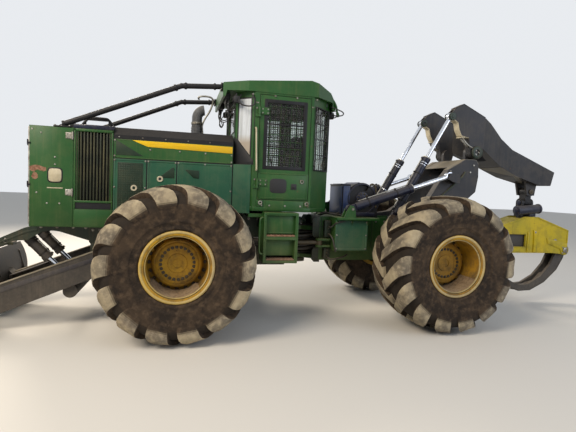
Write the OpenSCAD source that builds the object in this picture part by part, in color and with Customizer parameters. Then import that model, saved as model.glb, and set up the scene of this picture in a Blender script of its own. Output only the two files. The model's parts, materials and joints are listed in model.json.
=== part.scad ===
// Articulated grapple skidder: two frames hinged in the middle, four big lugged tyres, a cab,
// a stacking blade in front, and behind it an arch, a boom and a grapple.
// Millimetres. -X is the front, +Y is the right-hand side, Z is up and the ground is Z = 0.

/* [Running gear] */
// Distance between the two axles
wheelbase = 3800; // [3700:10:3900]
// Distance between the tyre centres of one axle
track = 2530; // [2480:10:2620]
// Radius over the tips of the tyre's lugs
tyre_r = 985; // [960:5:1000]
// Width of a tyre
tyre_w = 900; // [840:10:920]
// Height of a lug above the tread
lug_h = 62; // [40:2:70]
// Radius of the rim's flange
flange_r = 442; // [430:1:450]
// Depth of the wheel disc behind the rim's outer edge
dish = 440; // [400:10:460]
// Radius of the final-drive hub in the wheel
hub_r = 305; // [280:5:320]

/* [Frames] */
// Distance between the outer faces of the front frame's side plates
front_frame_w = 840; // [800:10:860]
// Distance between the outer faces of the rear frame's side plates
rear_frame_w = 680; // [640:10:700]
// Thickness of the frames' side plates
frame_plate = 40; // [25:5:45]
// Radius of the two hinge pins between the frames
hinge_pin_r = 60; // [45:5:65]
// Running clearance round a pin
pin_gap = 0.05; // [0.03:0.01:0.1]

/* [Engine housing and cab] */
// Width over the engine's side panels
hood_w = 1290; // [1240:10:1320]
// Thickness of the body panels
panel = 25; // [18:1:30]
// Width over the cab's doors
cab_w = 1600; // [1560:10:1640]
// Thickness of the cab's walls
cab_wall = 60; // [50:2:70]
// Gap round a door
door_gap = 8; // [6:1:12]
// Thickness of a window pane
glass_t = 8; // [6:1:10]

/* [Blade] */
// Width of the blade
blade_w = 2900; // [2700:50:3100]
// Distance between the centres of the blade's arms
arm_span = 1400; // [1380:5:1420]
// Thickness of a blade arm
arm_t = 110; // [90:5:120]

/* [Arch, boom and grapple] */
// Distance between the centres of the arch's legs
leg_span = 860; // [850:5:880]
// Thickness of an arch leg
leg_t = 140; // [120:5:150]
// Thickness of a boom arm at its pivot
boom_arm_t = 130; // [120:5:140]
// Half of the distance between the grapple's tong pins
tong_pin_reach = 800; // [760:10:820]
// Thickness of the grapple's plates
tong_t = 50; // [35:5:55]

/* [Hidden] */
$fn = 48;

// Places along the machine are counted from the hinge between the frames, then moved by
// centre_x so that the origin is under the middle of the whole machine.
front_end = -4620;
grapple_x = 4470;
tong_heel = 120;
rear_end = grapple_x + tong_pin_reach + tong_heel;
centre_x = (front_end + rear_end) / 2;

front_axle_x = -wheelbase / 2;
rear_axle_x = wheelbase / 2;
axle_z = tyre_r;
side_y = track / 2;
rim_edge = 395;
axle_r = 150;
hub_socket_r = axle_r + 40;
disc_y = rim_edge - dish;
frame_top = 1345;
cab_mount = 1590;
rear_top = 1560;
ff_y = front_frame_w / 2 - frame_plate / 2;
rf_y = rear_frame_w / 2 - frame_plate / 2;

// Pins as [x, z]
blade_pivot = [-2450, 1090];
blade_base = [-3950, 1215];
blade_eye = [-3400, 640];
blade_cyl_y = 312;
cross_tube = [-3270, 500];
arch_pivot = [2050, 1450];
arch_base = [680, 1700];
arch_eye = [2390, 2290];
arch_cyl_y = 590;
boom_pivot = [2950, 2720];
boom_base = [1480, 1540];
boom_eye = [2460, 3290];
boom_cyl_y = leg_span / 2;
tip_pin = [grapple_x, 2110];
swing_z = 1900;
tong_pin_z = 1030;
steer_base = [-1050, 430];
steer_eye = [250, 430];
steer_z = 1150;
tow_r = 26;
tie_r = 30;
front_tie = [-4130, 1130];
rear_tie = [2950, 1000];

// Cylinders: columns are barrel radius, rod radius, eye radius, pin radius, eye width and the
// length of the neck between the pin and the barrel
boom_cyl = [62, 34, 62, 30, 76, 125];
arch_cyl = [68, 38, 66, 32, 84, 100];
blade_cyl = [62, 36, 62, 30, 80, 90];
steer_cyl = [52, 30, 55, 26, 68, 80];
ear_gap = 3;

// A plate cut to an outline in the X-Z plane, its middle at y
module xz_plate(outline, y, t) {
    translate([0, y, 0]) rotate([90, 0, 0]) linear_extrude(t, center = true) polygon(outline);
}

// A plate cut to an outline in the X-Y plane, its underside at z
module xy_plate(outline, z, t) {
    translate([0, 0, z]) linear_extrude(t) polygon(outline);
}

// A round bar along Y through the point p = [x, z], its middle at y
module y_bar(p, y, r, t) {
    translate([p[0], y, p[1]]) rotate([90, 0, 0]) cylinder(h = t, r = r, center = true);
}

// A box from its low corner to its high corner
module block(low, high) {
    translate(low) cube(high - low);
}

// The same piece on the left and on the right
module pair() {
    children();
    mirror([0, 1, 0]) children();
}

// Turns Z to run from p to q, both [x, z], in the plane at y
module along(p, q, y) {
    d = q - p;
    translate([p[0], y, p[1]]) rotate([0, atan2(d[0], d[1]), 0]) children();
}

// How far the middle of an ear of thickness t lies from the middle of the eye that it holds
function ear_off(size, t) = size[4] / 2 + ear_gap + t / 2;

// Barrel of a cylinder between the pins p and q: hollow for its rod, with an eye on p
module barrel(p, q, y, size, len) {
    neck = size[5];
    difference() {
        union() {
            y_bar(p, y, size[2], size[4]);
            along(p, q, y) translate([-0.8 * size[2], -size[4] / 2 + 4, 0]) cube([1.6 * size[2], size[4] - 8, neck + 1]);
            along(p, q, y) translate([0, 0, neck]) cylinder(h = len - neck, r = size[0]);
            along(p, q, y) translate([0, 0, len - 60]) cylinder(h = 60, r = size[0] + 9);
        }
        y_bar(p, y, size[3] + pin_gap, size[4] + 200);
        along(p, q, y) translate([0, 0, neck + 10]) cylinder(h = len, r = size[1] + 0.3);
    }
}

// Rod of the same cylinder: it starts in the barrel at a distance from p and ends in an eye on q
module rod(p, q, y, size, start) {
    len = norm(q - p);
    difference() {
        union() {
            y_bar(q, y, size[2], size[4]);
            along(p, q, y) translate([0, 0, start]) cylinder(h = len - start, r = size[1]);
        }
        y_bar(q, y, size[3], size[4] + 20);
    }
}

// Points of an arc round [x, z] from one angle to another
function arc(c, r, from, to, n) =
    [for (i = [0 : n]) c + r * [cos(from + (to - from) * i / n), sin(from + (to - from) * i / n)]];

// Wheels

// Sections of a lug: columns are the place across the tyre, the angle that it trails the lug's
// centre end by, how far its top lies under the tyre's radius, how deep it reaches, half its width
// and how far its foot lies inside its top across the tyre
lug_rows = [
    [-30, 0, 0, 80, 4.4, 0],
    [190, 9, 4, 86, 5.2, 0],
    [440, 23, 46, 190, 7.6, 16]
];
lug_count = 14;
tread_r = tyre_r - lug_h;
bead_r = flange_r - 36 + 0.3;

// Corners of a lug's section, from its trailing foot round to its leading foot
function lug_section(row) = [
    for (corner = [[-1, 3], [-1, 2], [1, 2], [1, 3]])
        let (r = tyre_r - row[corner[1]], a = -row[1] - corner[0] * row[4])
            [r * cos(a), row[0] - (corner[1] == 3 ? row[5] : 0), r * sin(a)]
];

// A lug lies along X and is one polyhedron through its three sections
module lug() {
    rings = len(lug_rows);
    polyhedron(
        points = [for (row = lug_rows) each lug_section(row)],
        faces = concat(
            [[0, 1, 2, 3], [for (k = [3 : -1 : 0]) 4 * (rings - 1) + k]],
            [for (j = [0 : rings - 2], k = [0 : 3])
                let (a = 4 * j + k, b = 4 * j + (k + 1) % 4) each [[a, a + 4, b + 4], [a, b + 4, b]]]
        )
    );
}

// Its revolve starts between two lugs, so that no lug's corner falls on the seam
module tyre_body() {
    half = tyre_w / 2;
    rotate([0, 90 / lug_count, 0]) rotate([90, 0, 0]) rotate_extrude($fn = 84) polygon([
        [bead_r, 26 - rim_edge], [flange_r + 2, 15 - rim_edge], [flange_r + 6, 2 - rim_edge],
        [560, 20 - half], [700, -half], [tread_r - 110, 12 - half], [tread_r - 30, 110 - half], [tread_r, 250 - half],
        [tread_r, half - 250], [tread_r - 30, half - 110], [tread_r - 110, half - 12], [700, half], [560, half - 20],
        [flange_r + 6, rim_edge - 2], [flange_r + 2, rim_edge - 15], [bead_r, rim_edge - 26]
    ]);
}

// Left-hand tyre, its centre at the origin. The lugs of its two rows alternate, and one ends
// straight under the axle.
module tyre() {
    union() {
        tyre_body();
        for (row = [0, 1]) mirror([0, row, 0]) for (i = [0 : lug_count - 1])
            rotate([0, 90 + lug_rows[0][4] + (i + row / 2) * 360 / lug_count, 0]) lug();
    }
}

// Left-hand wheel, its outer side towards -Y: rim, dished disc and final-drive hub
module rim() {
    seat = flange_r - 36;
    difference() {
        rotate([90, 0, 0]) rotate_extrude($fn = 96) polygon([
            [0, disc_y - 60], [seat - 30, disc_y - 60], [seat - 30, -rim_edge + 10],
            [flange_r - 14, -rim_edge], [flange_r, -rim_edge], [flange_r, -rim_edge + 12],
            [seat, -rim_edge + 22], [seat - 1, 0], [seat, rim_edge - 22],
            [flange_r, rim_edge - 12], [flange_r, rim_edge], [flange_r - 14, rim_edge],
            [seat - 24, rim_edge - 10], [seat - 34, disc_y + 20], [hub_r + 18, disc_y],
            [hub_r + 18, disc_y + 30], [hub_r, disc_y + 40], [hub_r, disc_y + 105],
            [hub_r - 22, disc_y + 122], [150, disc_y + 130], [0, disc_y + 130]
        ]);
        rotate([90, 0, 0]) translate([0, 0, disc_y - 61]) cylinder(h = 61, r = hub_socket_r + 0.3);
    }
}

module wheel_place(x, side) {
    translate([x, side * side_y, axle_z]) mirror([0, side > 0 ? 1 : 0, 0]) children();
}

// Front frame

module front_side_plate() {
    xz_plate([
        [-3100, frame_top], [-1000, frame_top], [-960, cab_mount], [-330, cab_mount], [-300, 1500],
        [-300, steer_z + 130], [-640, steer_z + 110], [-760, steer_z + 76], [-1140, steer_z + 76],
        [-1140, steer_z - 76], [-760, steer_z - 76], [-640, steer_z - 110], [-300, steer_z - 130], [-300, 800],
        [-1300, 800], [-1560, 1180], [-2240, 1180], [-2560, 900], [-2900, 900], [-3100, 1120]
    ], ff_y, frame_plate);
}

// Curved nose plate over the blade's arms
module nose_plate() {
    xz_plate(concat(
        [[-3100, frame_top], [-3740, frame_top], [-3900, 1305], [-4190, 1165], [-4290, 1110], [-4290, 1010],
         [-4190, 1045], [-4030, 1130], [-3860, 1135]],
        arc([-3560, 905], 365, 125, 75, 8),
        [[-3100, 1140]]
    ), ff_y, frame_plate);
}

module hinge_ear(z) {
    difference() {
        xy_plate([[-330, ff_y], [-120, 170], [-90, 90], [-90, -90], [-120, -170], [-330, -ff_y]], z, 60);
        translate([0, 0, z - 1]) cylinder(h = 62, r = 20);
    }
    translate([0, 0, z]) cylinder(h = 60, r = 140);
}

front_ears_z = [1425, 800];
rear_ears_z = [1330, 870];
ear_t = 60;

base_ear_y = blade_cyl_y - ear_off(blade_cyl, 30);

module front_frame() {
    color("#2c3a2e") union() {
        pair() {
            front_side_plate();
            difference() {
                nose_plate();
                y_bar(front_tie, ff_y, tie_r, 2 * frame_plate);
            }
            y_bar(blade_pivot, (ff_y + arm_span / 2 + arm_t / 2) / 2 + 6, 60,
                  arm_span / 2 + arm_t / 2 - ff_y + 12);
            y_bar(blade_pivot, arm_span / 2 + arm_t / 2 + 12, 82, 14);
            y_bar(blade_pivot, ff_y + 45, 110, 70);
            y_bar(blade_base, (ff_y + base_ear_y) / 2, blade_cyl[3], ff_y - base_ear_y + 30);
            xz_plate([[-4010, 1140], [-4010, 1250], [-3900, 1304], [-3800, 1304], [-3890, 1200], [-3930, 1140]], base_ear_y, 30);
            for (side = [-1, 1]) translate([steer_base[0], steer_base[1], steer_z + side * ear_off(steer_cyl, 30)]) {
                translate([-180, -60, -15]) cube([180, 118, 30]);
                cylinder(h = 30, r = 58, center = true);
            }
            translate([steer_base[0], steer_base[1], steer_z - 75]) cylinder(h = 150, r = steer_cyl[3]);
        }
        block([-4290, -ff_y, 1015], [-4250, ff_y, 1100]);
        block([-3900, -ff_y, 1283], [-3740, ff_y, 1304]);
        block([-3780, -ff_y, 1300], [-3110, ff_y, frame_top]);
        block([-3100, -ff_y, 900], [-2900, ff_y, 940]);
        block([-2700, -ff_y, 1300], [-2460, ff_y, frame_top]);
        block([-1600, -ff_y, 1300], [-1300, ff_y, frame_top]);
        block([-340, -ff_y, 800], [-300, ff_y, 960]);
        block([-340, -ff_y, 1330], [-300, ff_y, cab_mount - 1]);
        block([-960, -ff_y, 1550], [-330, ff_y, cab_mount]);
        for (x = [-920, -460], y = [-380, 300]) block([x, y, cab_mount - 1], [x + 100, y + 80, cab_floor]);
        difference() {
            block([-4260, -70, 1020], [-4150, 70, 1060]);
            translate([-4205, 0, 1000]) cylinder(h = 80, r = tow_r);
        }
        for (z = front_ears_z) hinge_ear(z);
        translate([0, 0, front_ears_z[1]]) cylinder(h = 150, r = hinge_pin_r);
        translate([0, 0, rear_ears_z[0] - 5]) cylinder(h = 200, r = hinge_pin_r);
        translate([0, 0, front_ears_z[0] + 60]) cylinder(h = 22, r = 95);
        for (x = [-2180, -1620]) block([x - 30, -ff_y, axle_z + axle_r + 6], [x + 30, ff_y, 1250]);
    }
}

// Axle with its centre housing, its saddles and the hub housings that carry the wheels
module axle(x) {
    reach = side_y + disc_y - 5;
    hub_len = 240;
    translate([x, 0, axle_z]) {
        rotate([90, 0, 0]) cylinder(h = 2 * reach - 40, r = axle_r, center = true);
        pair() translate([0, hub_len - reach, 0]) rotate([90, 0, 0]) cylinder(h = hub_len, r = hub_socket_r);
        sphere(r = 235);
        rotate([0, 90, 0]) cylinder(h = 620, r = 120, center = true);
        for (side = [-1, 1]) translate([side * 250, 0, 0]) block([-60, -230, 60], [60, 230, axle_r + 6]);
    }
}

module front_axle() { color("#33382f") axle(front_axle_x); }
module rear_axle() { color("#33382f") axle(rear_axle_x); }

// Engine housing

box_front = -3780;
box_rear = -3250;
grille_rear = -2770;
hood_rear = -1170;
hood_bottom = frame_top;
box_top = 2650;
hood_split = 2545;
grille_z = [1700, 2610];

module engine_block() {
    color("#4a4a46") union() {
        block([-2560, -260, frame_top], [-1500, 260, 2150]);
        block([-2450, -330, 2149], [-1650, 200, 2330]);
        block([-1501, -230, frame_top], [-1230, 230, 1800]);
    }
}

module cooling_box() {
    half = hood_w / 2;
    color("#2f6b34") difference() {
        block([box_front, -half, hood_bottom], [box_rear, half, box_top]);
        block([box_front + 60, -half + panel, hood_bottom + panel], [box_rear + 1, half - panel, box_top - panel]);
        block([box_front - 1, -half + 110, 1500], [box_front + 61, half - 110, 2520]);
    }
    color("#1c1e1d") for (i = [0 : 9])
        block([box_front + 12, -half + 109, 1560 + i * 96], [box_front + 32, half - 109, 1595 + i * 96]);
}

module side_grilles() {
    half = hood_w / 2;
    slats = 9;
    color("#26301f") {
        pair() difference() {
            block([box_rear, half - 40, hood_bottom], [grille_rear, half, box_top]);
            block([box_rear + 40, half - 41, grille_z[0]], [grille_rear - 40, half + 1, grille_z[1]]);
        }
        pair() for (i = [1 : slats])
            translate([box_rear + 40 + i * (grille_rear - box_rear - 80) / (slats + 1) - 8, half - 38, grille_z[0]])
                cube([16, 34, grille_z[1] - grille_z[0]]);
        block([box_rear, -half + 40, box_top - 24], [grille_rear, half - 40, box_top]);
    }
}

// Coolers behind the side grilles, standing on the nose plate
module cooler_core() {
    color("#1a1b1c") block([box_rear + 60, 60 - hood_w / 2, frame_top], [grille_rear - 60, hood_w / 2 - 60, box_top - 60]);
}

module engine_hood() {
    half = hood_w / 2;
    color("#2f6b34") difference() {
        block([grille_rear, -half, hood_bottom], [hood_rear, half, hood_split]);
        block([grille_rear - 1, -half + panel, hood_bottom - 1], [hood_rear - panel, half - panel, hood_split + 1]);
    }
}

module hood_top() {
    half = hood_w / 2;
    color("#22242a") {
        difference() {
            translate([grille_rear, 0, 0]) rotate([90, 0, 90]) linear_extrude(hood_rear - grille_rear)
                polygon([[-half, hood_split], [-half, 2600], [-half + 90, 2700], [half - 90, 2700],
                         [half, 2600], [half, hood_split]]);
            translate([grille_rear - 1, 0, 0]) rotate([90, 0, 90]) linear_extrude(hood_rear - grille_rear + 2)
                polygon([[-half + 25, hood_split - 1], [-half + 25, 2590], [-half + 100, 2675],
                         [half - 100, 2675], [half - 25, 2590], [half - 25, hood_split - 1]]);
        }
        block([box_rear + 60, -half + 10, box_top], [grille_rear + 5, half - 10, box_top + 45]);
        pair() translate([0, half - 160, 0]) {
            for (x = [-3150, -2850]) translate([x, 0, box_top + 44]) cylinder(h = 100, r = 12);
            translate([-3162, -12, box_top + 130]) cube([324, 24, 24]);
        }
    }
}

stack = [-1660, 200];
stack_r = 78;

module exhaust_stack() {
    color("#55504a") {
        translate([stack[0], stack[1], 2700]) difference() {
            cylinder(h = 330, r = stack_r);
            translate([0, 0, 30]) cylinder(h = 301, r = stack_r - 8);
        }
        translate([stack[0], stack[1], 2880]) cylinder(h = 24, r = stack_r + 6);
        translate([stack[0] + 130, stack[1], 3030]) rotate([-90, 0, 180]) mirror([0, 1, 0])
            rotate_extrude(angle = 80) translate([130, 0]) difference() {
                circle(r = stack_r);
                circle(r = stack_r - 8);
            }
    }
}

module limb_risers() {
    foot = [-3400, box_top + 40];
    bend = [-1910, cab_top + 20];
    head = [-1352, cab_top + 62];
    y = 600;
    color("#26262a") pair() {
        along(foot, bend, y) cylinder(h = norm(bend - foot), r = 36);
        translate([bend[0], y, bend[1]]) sphere(r = 38);
        along(bend, head, y) cylinder(h = norm(head - bend), r = 36);
        block([-1357, y - 50, cab_top + 10], [-1345, y + 50, cab_top + 105]);
        xz_plate([[foot[0] - 90, box_top], [box_rear, box_top], [foot[0] + 150, box_top + 90], [foot[0], box_top + 50]], y, 30);
    }
}

// Cab

cab_floor = 1640;
cab_top = 3310;
cab_half = cab_w / 2;
cab_front = -1150;
post_x = -900;
cab_rear = 330;
corner_x = -40;
screen_half = 580;
rear_half = 420;
sill_z = 1700;

// Outline of the cab seen from above, moved in by an amount
function cab_plan(d) = [
    [cab_front + d, -screen_half + d / 2], [post_x + d / 2, -cab_half + d], [corner_x - d / 2, -cab_half + d],
    [cab_rear - d, -rear_half + d / 2], [cab_rear - d, rear_half - d / 2], [corner_x - d / 2, cab_half - d],
    [post_x + d / 2, cab_half - d], [cab_front + d, screen_half - d / 2]
];

door_x = [-835, -75];
door_z = [1800, cab_top - 25];
door_window = [[-760, -145], [2245, cab_top - 95]];
screen_z = [2760, cab_top - 80];
corner_pane_z = [2350, cab_top - 80];
rear_pane_z = [2260, cab_top - 130];

module window(x, y, z) {
    block([x[0], y[0], z[0]], [x[1], y[1], z[1]]);
}

module cab_shell() {
    color("#2f7a36") pair() door_hinge_pins();
    color("#2f7a36") difference() {
        xy_plate(cab_plan(0), cab_floor, cab_top - cab_floor);
        xy_plate(cab_plan(cab_wall), sill_z, cab_top - sill_z + 1);
        block([cab_front - 1, -cab_half - 1, cab_floor - 1], [post_x - 30, cab_half + 1, 2290]);
        pair() window([door_x[0], door_x[1]], [cab_half - cab_wall - 30, cab_half + 1], door_z);
        window([cab_front - 1, cab_front + cab_wall + 30], [-screen_half + 60, screen_half - 60], screen_z);
        window([cab_rear - cab_wall - 30, cab_rear + 1], [-rear_half + 60, rear_half - 60], rear_pane_z);
        pair() {
            corner_cut([corner_x, cab_half], [cab_rear, rear_half], rear_pane_z);
            corner_cut([cab_front, screen_half], [post_x, cab_half], corner_pane_z);
        }
    }
}

// An opening through the slanted wall between a and b, both [x, y], 55 mm in from both ends
module corner_cut(a, b, z, t = 200, inset = 55) {
    d = b - a;
    translate([a[0], a[1], z[0]]) rotate([0, 0, atan2(d[1], d[0])])
        translate([inset, -t / 2, 0]) cube([norm(d) - 2 * inset, t, z[1] - z[0]]);
}

module cab_glass() {
    color([0.6, 0.7, 0.75, 0.4]) {
        pane_in = 30;
        fit = 0.3;
        block([cab_front + pane_in, -screen_half + 60 + fit, screen_z[0] + fit],
              [cab_front + pane_in + glass_t, screen_half - 60 - fit, screen_z[1] - fit]);
        block([cab_rear - pane_in - glass_t, -rear_half + 60 + fit, rear_pane_z[0] + fit],
              [cab_rear - pane_in, rear_half - 60 - fit, rear_pane_z[1] - fit]);
        pair() intersection() {
            union() {
                corner_cut([corner_x, cab_half], [cab_rear, rear_half], rear_pane_z + [fit, -fit],
                           2 * glass_t, 55 + fit);
                corner_cut([cab_front, screen_half], [post_x, cab_half], corner_pane_z + [fit, -fit],
                           2 * glass_t, 55 + fit);
            }
            xy_plate(cab_plan(2), 2200, cab_top - 2210);
        }
    }
}

module cab_roof() {
    color("#2f7a36") intersection() {
        xz_plate([
            [-1345, cab_top + 108], [-90, cab_top + 226], [290, cab_top + 133], [430, cab_top - 16],
            [400, cab_top - 110], [345, cab_top - 110], [335, cab_top], [-1290, cab_top],
            [-1310, cab_top - 80], [-1345, cab_top - 80]
        ], 0, 2 * cab_half + 40);
        xy_plate([
            [-1350, -700], [-1000, -cab_half - 8], [20, -cab_half - 8], [440, -430],
            [440, 430], [20, cab_half + 8], [-1000, cab_half + 8], [-1350, 700]
        ], cab_top - 210, 500);
    }
}

module cab_interior() {
    color("#303236") union() {
        block([-520, -250, sill_z], [-120, 250, sill_z + 260]);
        block([-560, -270, sill_z + 260], [-60, 270, sill_z + 400]);
        xz_plate([[-130, sill_z + 400], [-60, sill_z + 400], [40, 2760], [-60, 2800]], 0, 500);
        block([-1020, -140, 2300], [-900, 140, 2700]);
        xz_plate([[-840, sill_z], [-720, sill_z], [-860, 2400], [-980, 2400]], 0, 200);
        for (side = [-1, 1]) block([-420, side * 400 - 70, sill_z], [-120, side * 400 + 70, sill_z + 560]);
    }
}

// Door hinges: pins on the cab's front posts, knuckles on the doors
door_hinge = [-842, 824];
door_hinge_z = [2010, cab_top - 300];
door_pin_r = 9;

module door_hinge_pins() {
    for (z = door_hinge_z) {
        block([post_x + 5, cab_half - 12, z - 46], [door_hinge[0], door_hinge[1], z - 8]);
        translate([door_hinge[0], door_hinge[1], z - 46]) cylinder(h = 38, r = 18);
        translate([door_hinge[0], door_hinge[1], z - 46]) cylinder(h = 140, r = door_pin_r);
    }
}

// A door in its opening, its window guarded by a grid of bars
module door(side) {
    y = [cab_half - 48, cab_half - 3];
    bars = [7, 9];
    w = door_window;
    mirror([0, side < 0 ? 1 : 0, 0]) color("#2f7a36") union() {
        difference() {
            block([door_x[0] + door_gap, y[0], door_z[0] + door_gap], [door_x[1] - door_gap, y[1], door_z[1] - door_gap]);
            block([w[0][0], y[0] - 1, w[1][0]], [w[0][1], y[1] + 1, w[1][1]]);
        }
        for (z = door_hinge_z) difference() {
            union() {
                translate([door_hinge[0], door_hinge[1], z - 7]) cylinder(h = 90, r = 18);
                block([door_hinge[0], y[1] + 9, z], [door_hinge[0] + 130, y[1] + 21, z + 76]);
                block([door_hinge[0] + 27, y[1] - 1, z], [door_hinge[0] + 130, y[1] + 10, z + 76]);
            }
            translate([door_hinge[0], door_hinge[1], z - 10]) cylinder(h = 100, r = door_pin_r + pin_gap);
        }
        for (i = [1 : bars[0]]) translate([w[0][0] + i * (w[0][1] - w[0][0]) / (bars[0] + 1), y[1] - 14, w[1][0] - 5])
            cube([8, 8, w[1][1] - w[1][0] + 10]);
        for (i = [1 : bars[1]]) translate([w[0][0] - 5, y[1] - 10, w[1][0] + i * (w[1][1] - w[1][0]) / (bars[1] + 1)])
            cube([w[0][1] - w[0][0] + 10, 8, 8]);
    }
}

module door_glass(side) {
    w = door_window;
    mirror([0, side < 0 ? 1 : 0, 0]) color([0.6, 0.7, 0.75, 0.4])
        block([w[0][0] + 0.3, cab_half - 40, w[1][0] + 0.3],
              [w[0][1] - 0.3, cab_half - 40 + glass_t, w[1][1] - 0.3]);
}

module side_boxes() {
    color("#2d6f4a") pair() difference() {
        xy_plate([[hood_rear + 5, 655], [post_x - 10, cab_half], [post_x, cab_half], [post_x, 420],
                  [hood_rear + 5, 420]], 1600, 690);
        block([post_x - 30, 300, 1500], [post_x + 60, 1000, 2400]);
    }
}

module step_boxes() {
    color("#2f6b34") pair() union() {
        difference() {
            block([-740, 650, 910], [-240, 940, 1630]);
            block([-700, 700, 960], [-280, 941, 1240]);
            block([-700, 780, 1300], [-280, 941, 1590]);
        }
        block([-940, front_frame_w / 2 + 0.3, 1550], [-739, 790, 1600]);
        block([-740, front_frame_w / 2 + 0.3, 1400], [-240, 651, 1540]);
    }
}

module work_lamps() {
    color("#d8d8d0") {
        for (y = [-520, -300, 300, 520]) {
            translate([-1290, y, cab_top - 48]) rotate([0, 90, 0]) cylinder(h = 60, r = 44);
            block([-1280, y - 12, cab_top - 48], [-1240, y + 12, cab_top]);
        }
        for (y = [-300, 300]) {
            translate([360, y, cab_top - 160]) rotate([0, 90, 0]) cylinder(h = 60, r = 44);
            block([365, y - 12, cab_top - 160], [395, y + 12, cab_top - 110]);
        }
    }
}

// Blade

arm_y = arm_span / 2;
blade_back = -4380;

module blade_frame() {
    color("#2b2c2e") difference() {
        union() {
            pair() {
                xz_plate([[blade_back, 110], [blade_back, 490], [-2450, 1232], [-2450, 940], [-2960, 690]],
                         arm_y, arm_t);
                y_bar(blade_pivot, arm_y, 142, arm_t);
                xy_plate([[blade_back, arm_y - 40], [blade_back, 250], [-4290, 250], [-3800, arm_y - 40]], 330, 30);
                for (side = [-1, 1])
                    xz_plate([[-3330, 420], [-3210, 430], [-3320, 660], [-3380, 690], [-3440, 670], [-3450, 600]],
                             blade_cyl_y + side * ear_off(blade_cyl, 25), 25);
            }
            y_bar(cross_tube, 0, 90, arm_span);
        }
        pair() y_bar(blade_pivot, arm_y, 60 + pin_gap, arm_t + 2);
    }
}

module blade() {
    c = [-5260, 455];
    color("#2b2c2e") {
        difference() {
            union() {
                xz_plate(concat(arc(c, 830, -31, 31, 16), arc(c, 800, 31, -31, 16)), 0, blade_w);
                for (y = [-arm_y, arm_y]) xz_plate([[-4500, 120], [-4500, 600], [blade_back, 480], [blade_back, 150]], y, 200);
                for (y = [-1200, -250, 250, 1200])
                    xz_plate([[-4520, 110], [-4520, 800], [-4470, 760], [-4400, 480], [-4440, 150]], y, 30);
            }
            y_bar(c, 0, 800, blade_w + 10);
        }
        xz_plate([[front_end, 30], [-4575, 30], [-4520, 130], [-4560, 150]], 0, blade_w);
    }
}

module blade_barrels() { color("#26272b") pair() barrel(blade_base, blade_eye, blade_cyl_y, blade_cyl, 470); }
module blade_rods() { color("#c8ccd0") pair() rod(blade_base, blade_eye, blade_cyl_y, blade_cyl, 362); }

// Steering cylinders lie flat beside the hinge
module steer_flat(side) {
    mirror([0, side < 0 ? 1 : 0, 0]) translate([0, 0, steer_z]) rotate([-90, 0, 0]) children();
}
steer_p = [steer_base[0], -steer_base[1]];
steer_q = [steer_eye[0], -steer_eye[1]];

module steer_barrel(side) { color("#26272b") steer_flat(side) rotate([90, 0, 0]) flat_barrel(); }
module flat_barrel() {
    translate([0, steer_base[1], 0]) rotate([90, 0, 0])
        barrel([steer_base[0], 0], [steer_eye[0], 0], 0, steer_cyl, 800);
}
module steer_rod(side) { color("#c8ccd0") steer_flat(side) rotate([90, 0, 0]) flat_rod(); }
module flat_rod() {
    translate([0, steer_base[1], 0]) rotate([90, 0, 0])
        rod([steer_base[0], 0], [steer_eye[0], 0], 0, steer_cyl, 425);
}

// Rear frame

module rear_ear(z) {
    difference() {
        union() {
            translate([0, 0, z]) cylinder(h = ear_t, r = 135);
            xy_plate([[0, -110], [290, -rf_y], [290, rf_y], [0, 110]], z, ear_t);
        }
        translate([0, 0, z - 1]) cylinder(h = ear_t + 2, r = hinge_pin_r + pin_gap);
    }
}

module rear_frame() {
    color("#2f6b34") difference() {
        union() {
            pair() {
                xz_plate([[280, 860], [280, rear_top], [2300, rear_top], [2650, 1300], [2900, 1300], [2900, 1090], [2960, 1060], [3010, 1030], [3010, 970], [2960, 940],
                          [2900, 910], [2900, 820],
                          [2300, 820], [2160, 1180], [1640, 1180], [1500, 860]], rf_y, frame_plate);
                block([450, rf_y, 1040], [1000, 590, rear_top]);
                block([450, rf_y, rear_top - 25], [1150, 665, rear_top + 1]);
                for (side = [-1, 1]) {
                    xz_plate([[560, rear_top - 5], [760, rear_top - 5], [745, 1680], [715, 1745], [660, 1762], [620, 1700]],
                             arch_cyl_y + side * ear_off(arch_cyl, 30), 30);
                    translate([0, 0, steer_z + side * ear_off(steer_cyl, 30) - 15]) {
                        block([290, rf_y, 0], [420, steer_eye[1] + 50, 30]);
                        translate([steer_eye[0], steer_eye[1], 0]) cylinder(h = 30, r = 56);
                        block([steer_eye[0], rf_y + 60, 0], [300, steer_eye[1] + 50, 30]);
                    }
                }
                y_bar(arch_base, arch_cyl_y, arch_cyl[3], 160);
                y_bar(arch_pivot, (rf_y + leg_span / 2 + leg_t / 2) / 2, 70, leg_span / 2 + leg_t / 2 - rf_y + 16);
                y_bar(arch_pivot, rf_y, 120, frame_plate);
                y_bar(arch_pivot, leg_span / 2 + leg_t / 2 + 15, 92, 14);
            }
            block([280, -rf_y, 860], [320, rf_y, 960]);
            block([280, -rf_y, 1330], [320, rf_y, rear_top]);
            block([320, -rf_y, rear_top - 30], [1330, rf_y, rear_top]);
            block([2860, -rf_y, 820], [2900, rf_y, 1300]);
            block([1200, -rf_y, 1240], [1400, rf_y, 1280]);
            for (z = rear_ears_z) rear_ear(z);
            for (x = [rear_axle_x - 280, rear_axle_x + 220]) block([x, -300, axle_z + axle_r + 6], [x + 60, 300, 1300]);
            block([2890, -120, 900], [3000, 120, 1000]);
        }
        for (z = rear_ears_z) translate([0, 0, z - 1]) cylinder(h = ear_t + 2, r = hinge_pin_r + pin_gap);
        translate([2955, 0, 890]) cylinder(h = 120, r = tow_r);
        pair() y_bar(rear_tie, rf_y, tie_r, 2 * frame_plate);
    }
}

winch_pin = [1000, 1860];
drum_flange = 225;

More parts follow.
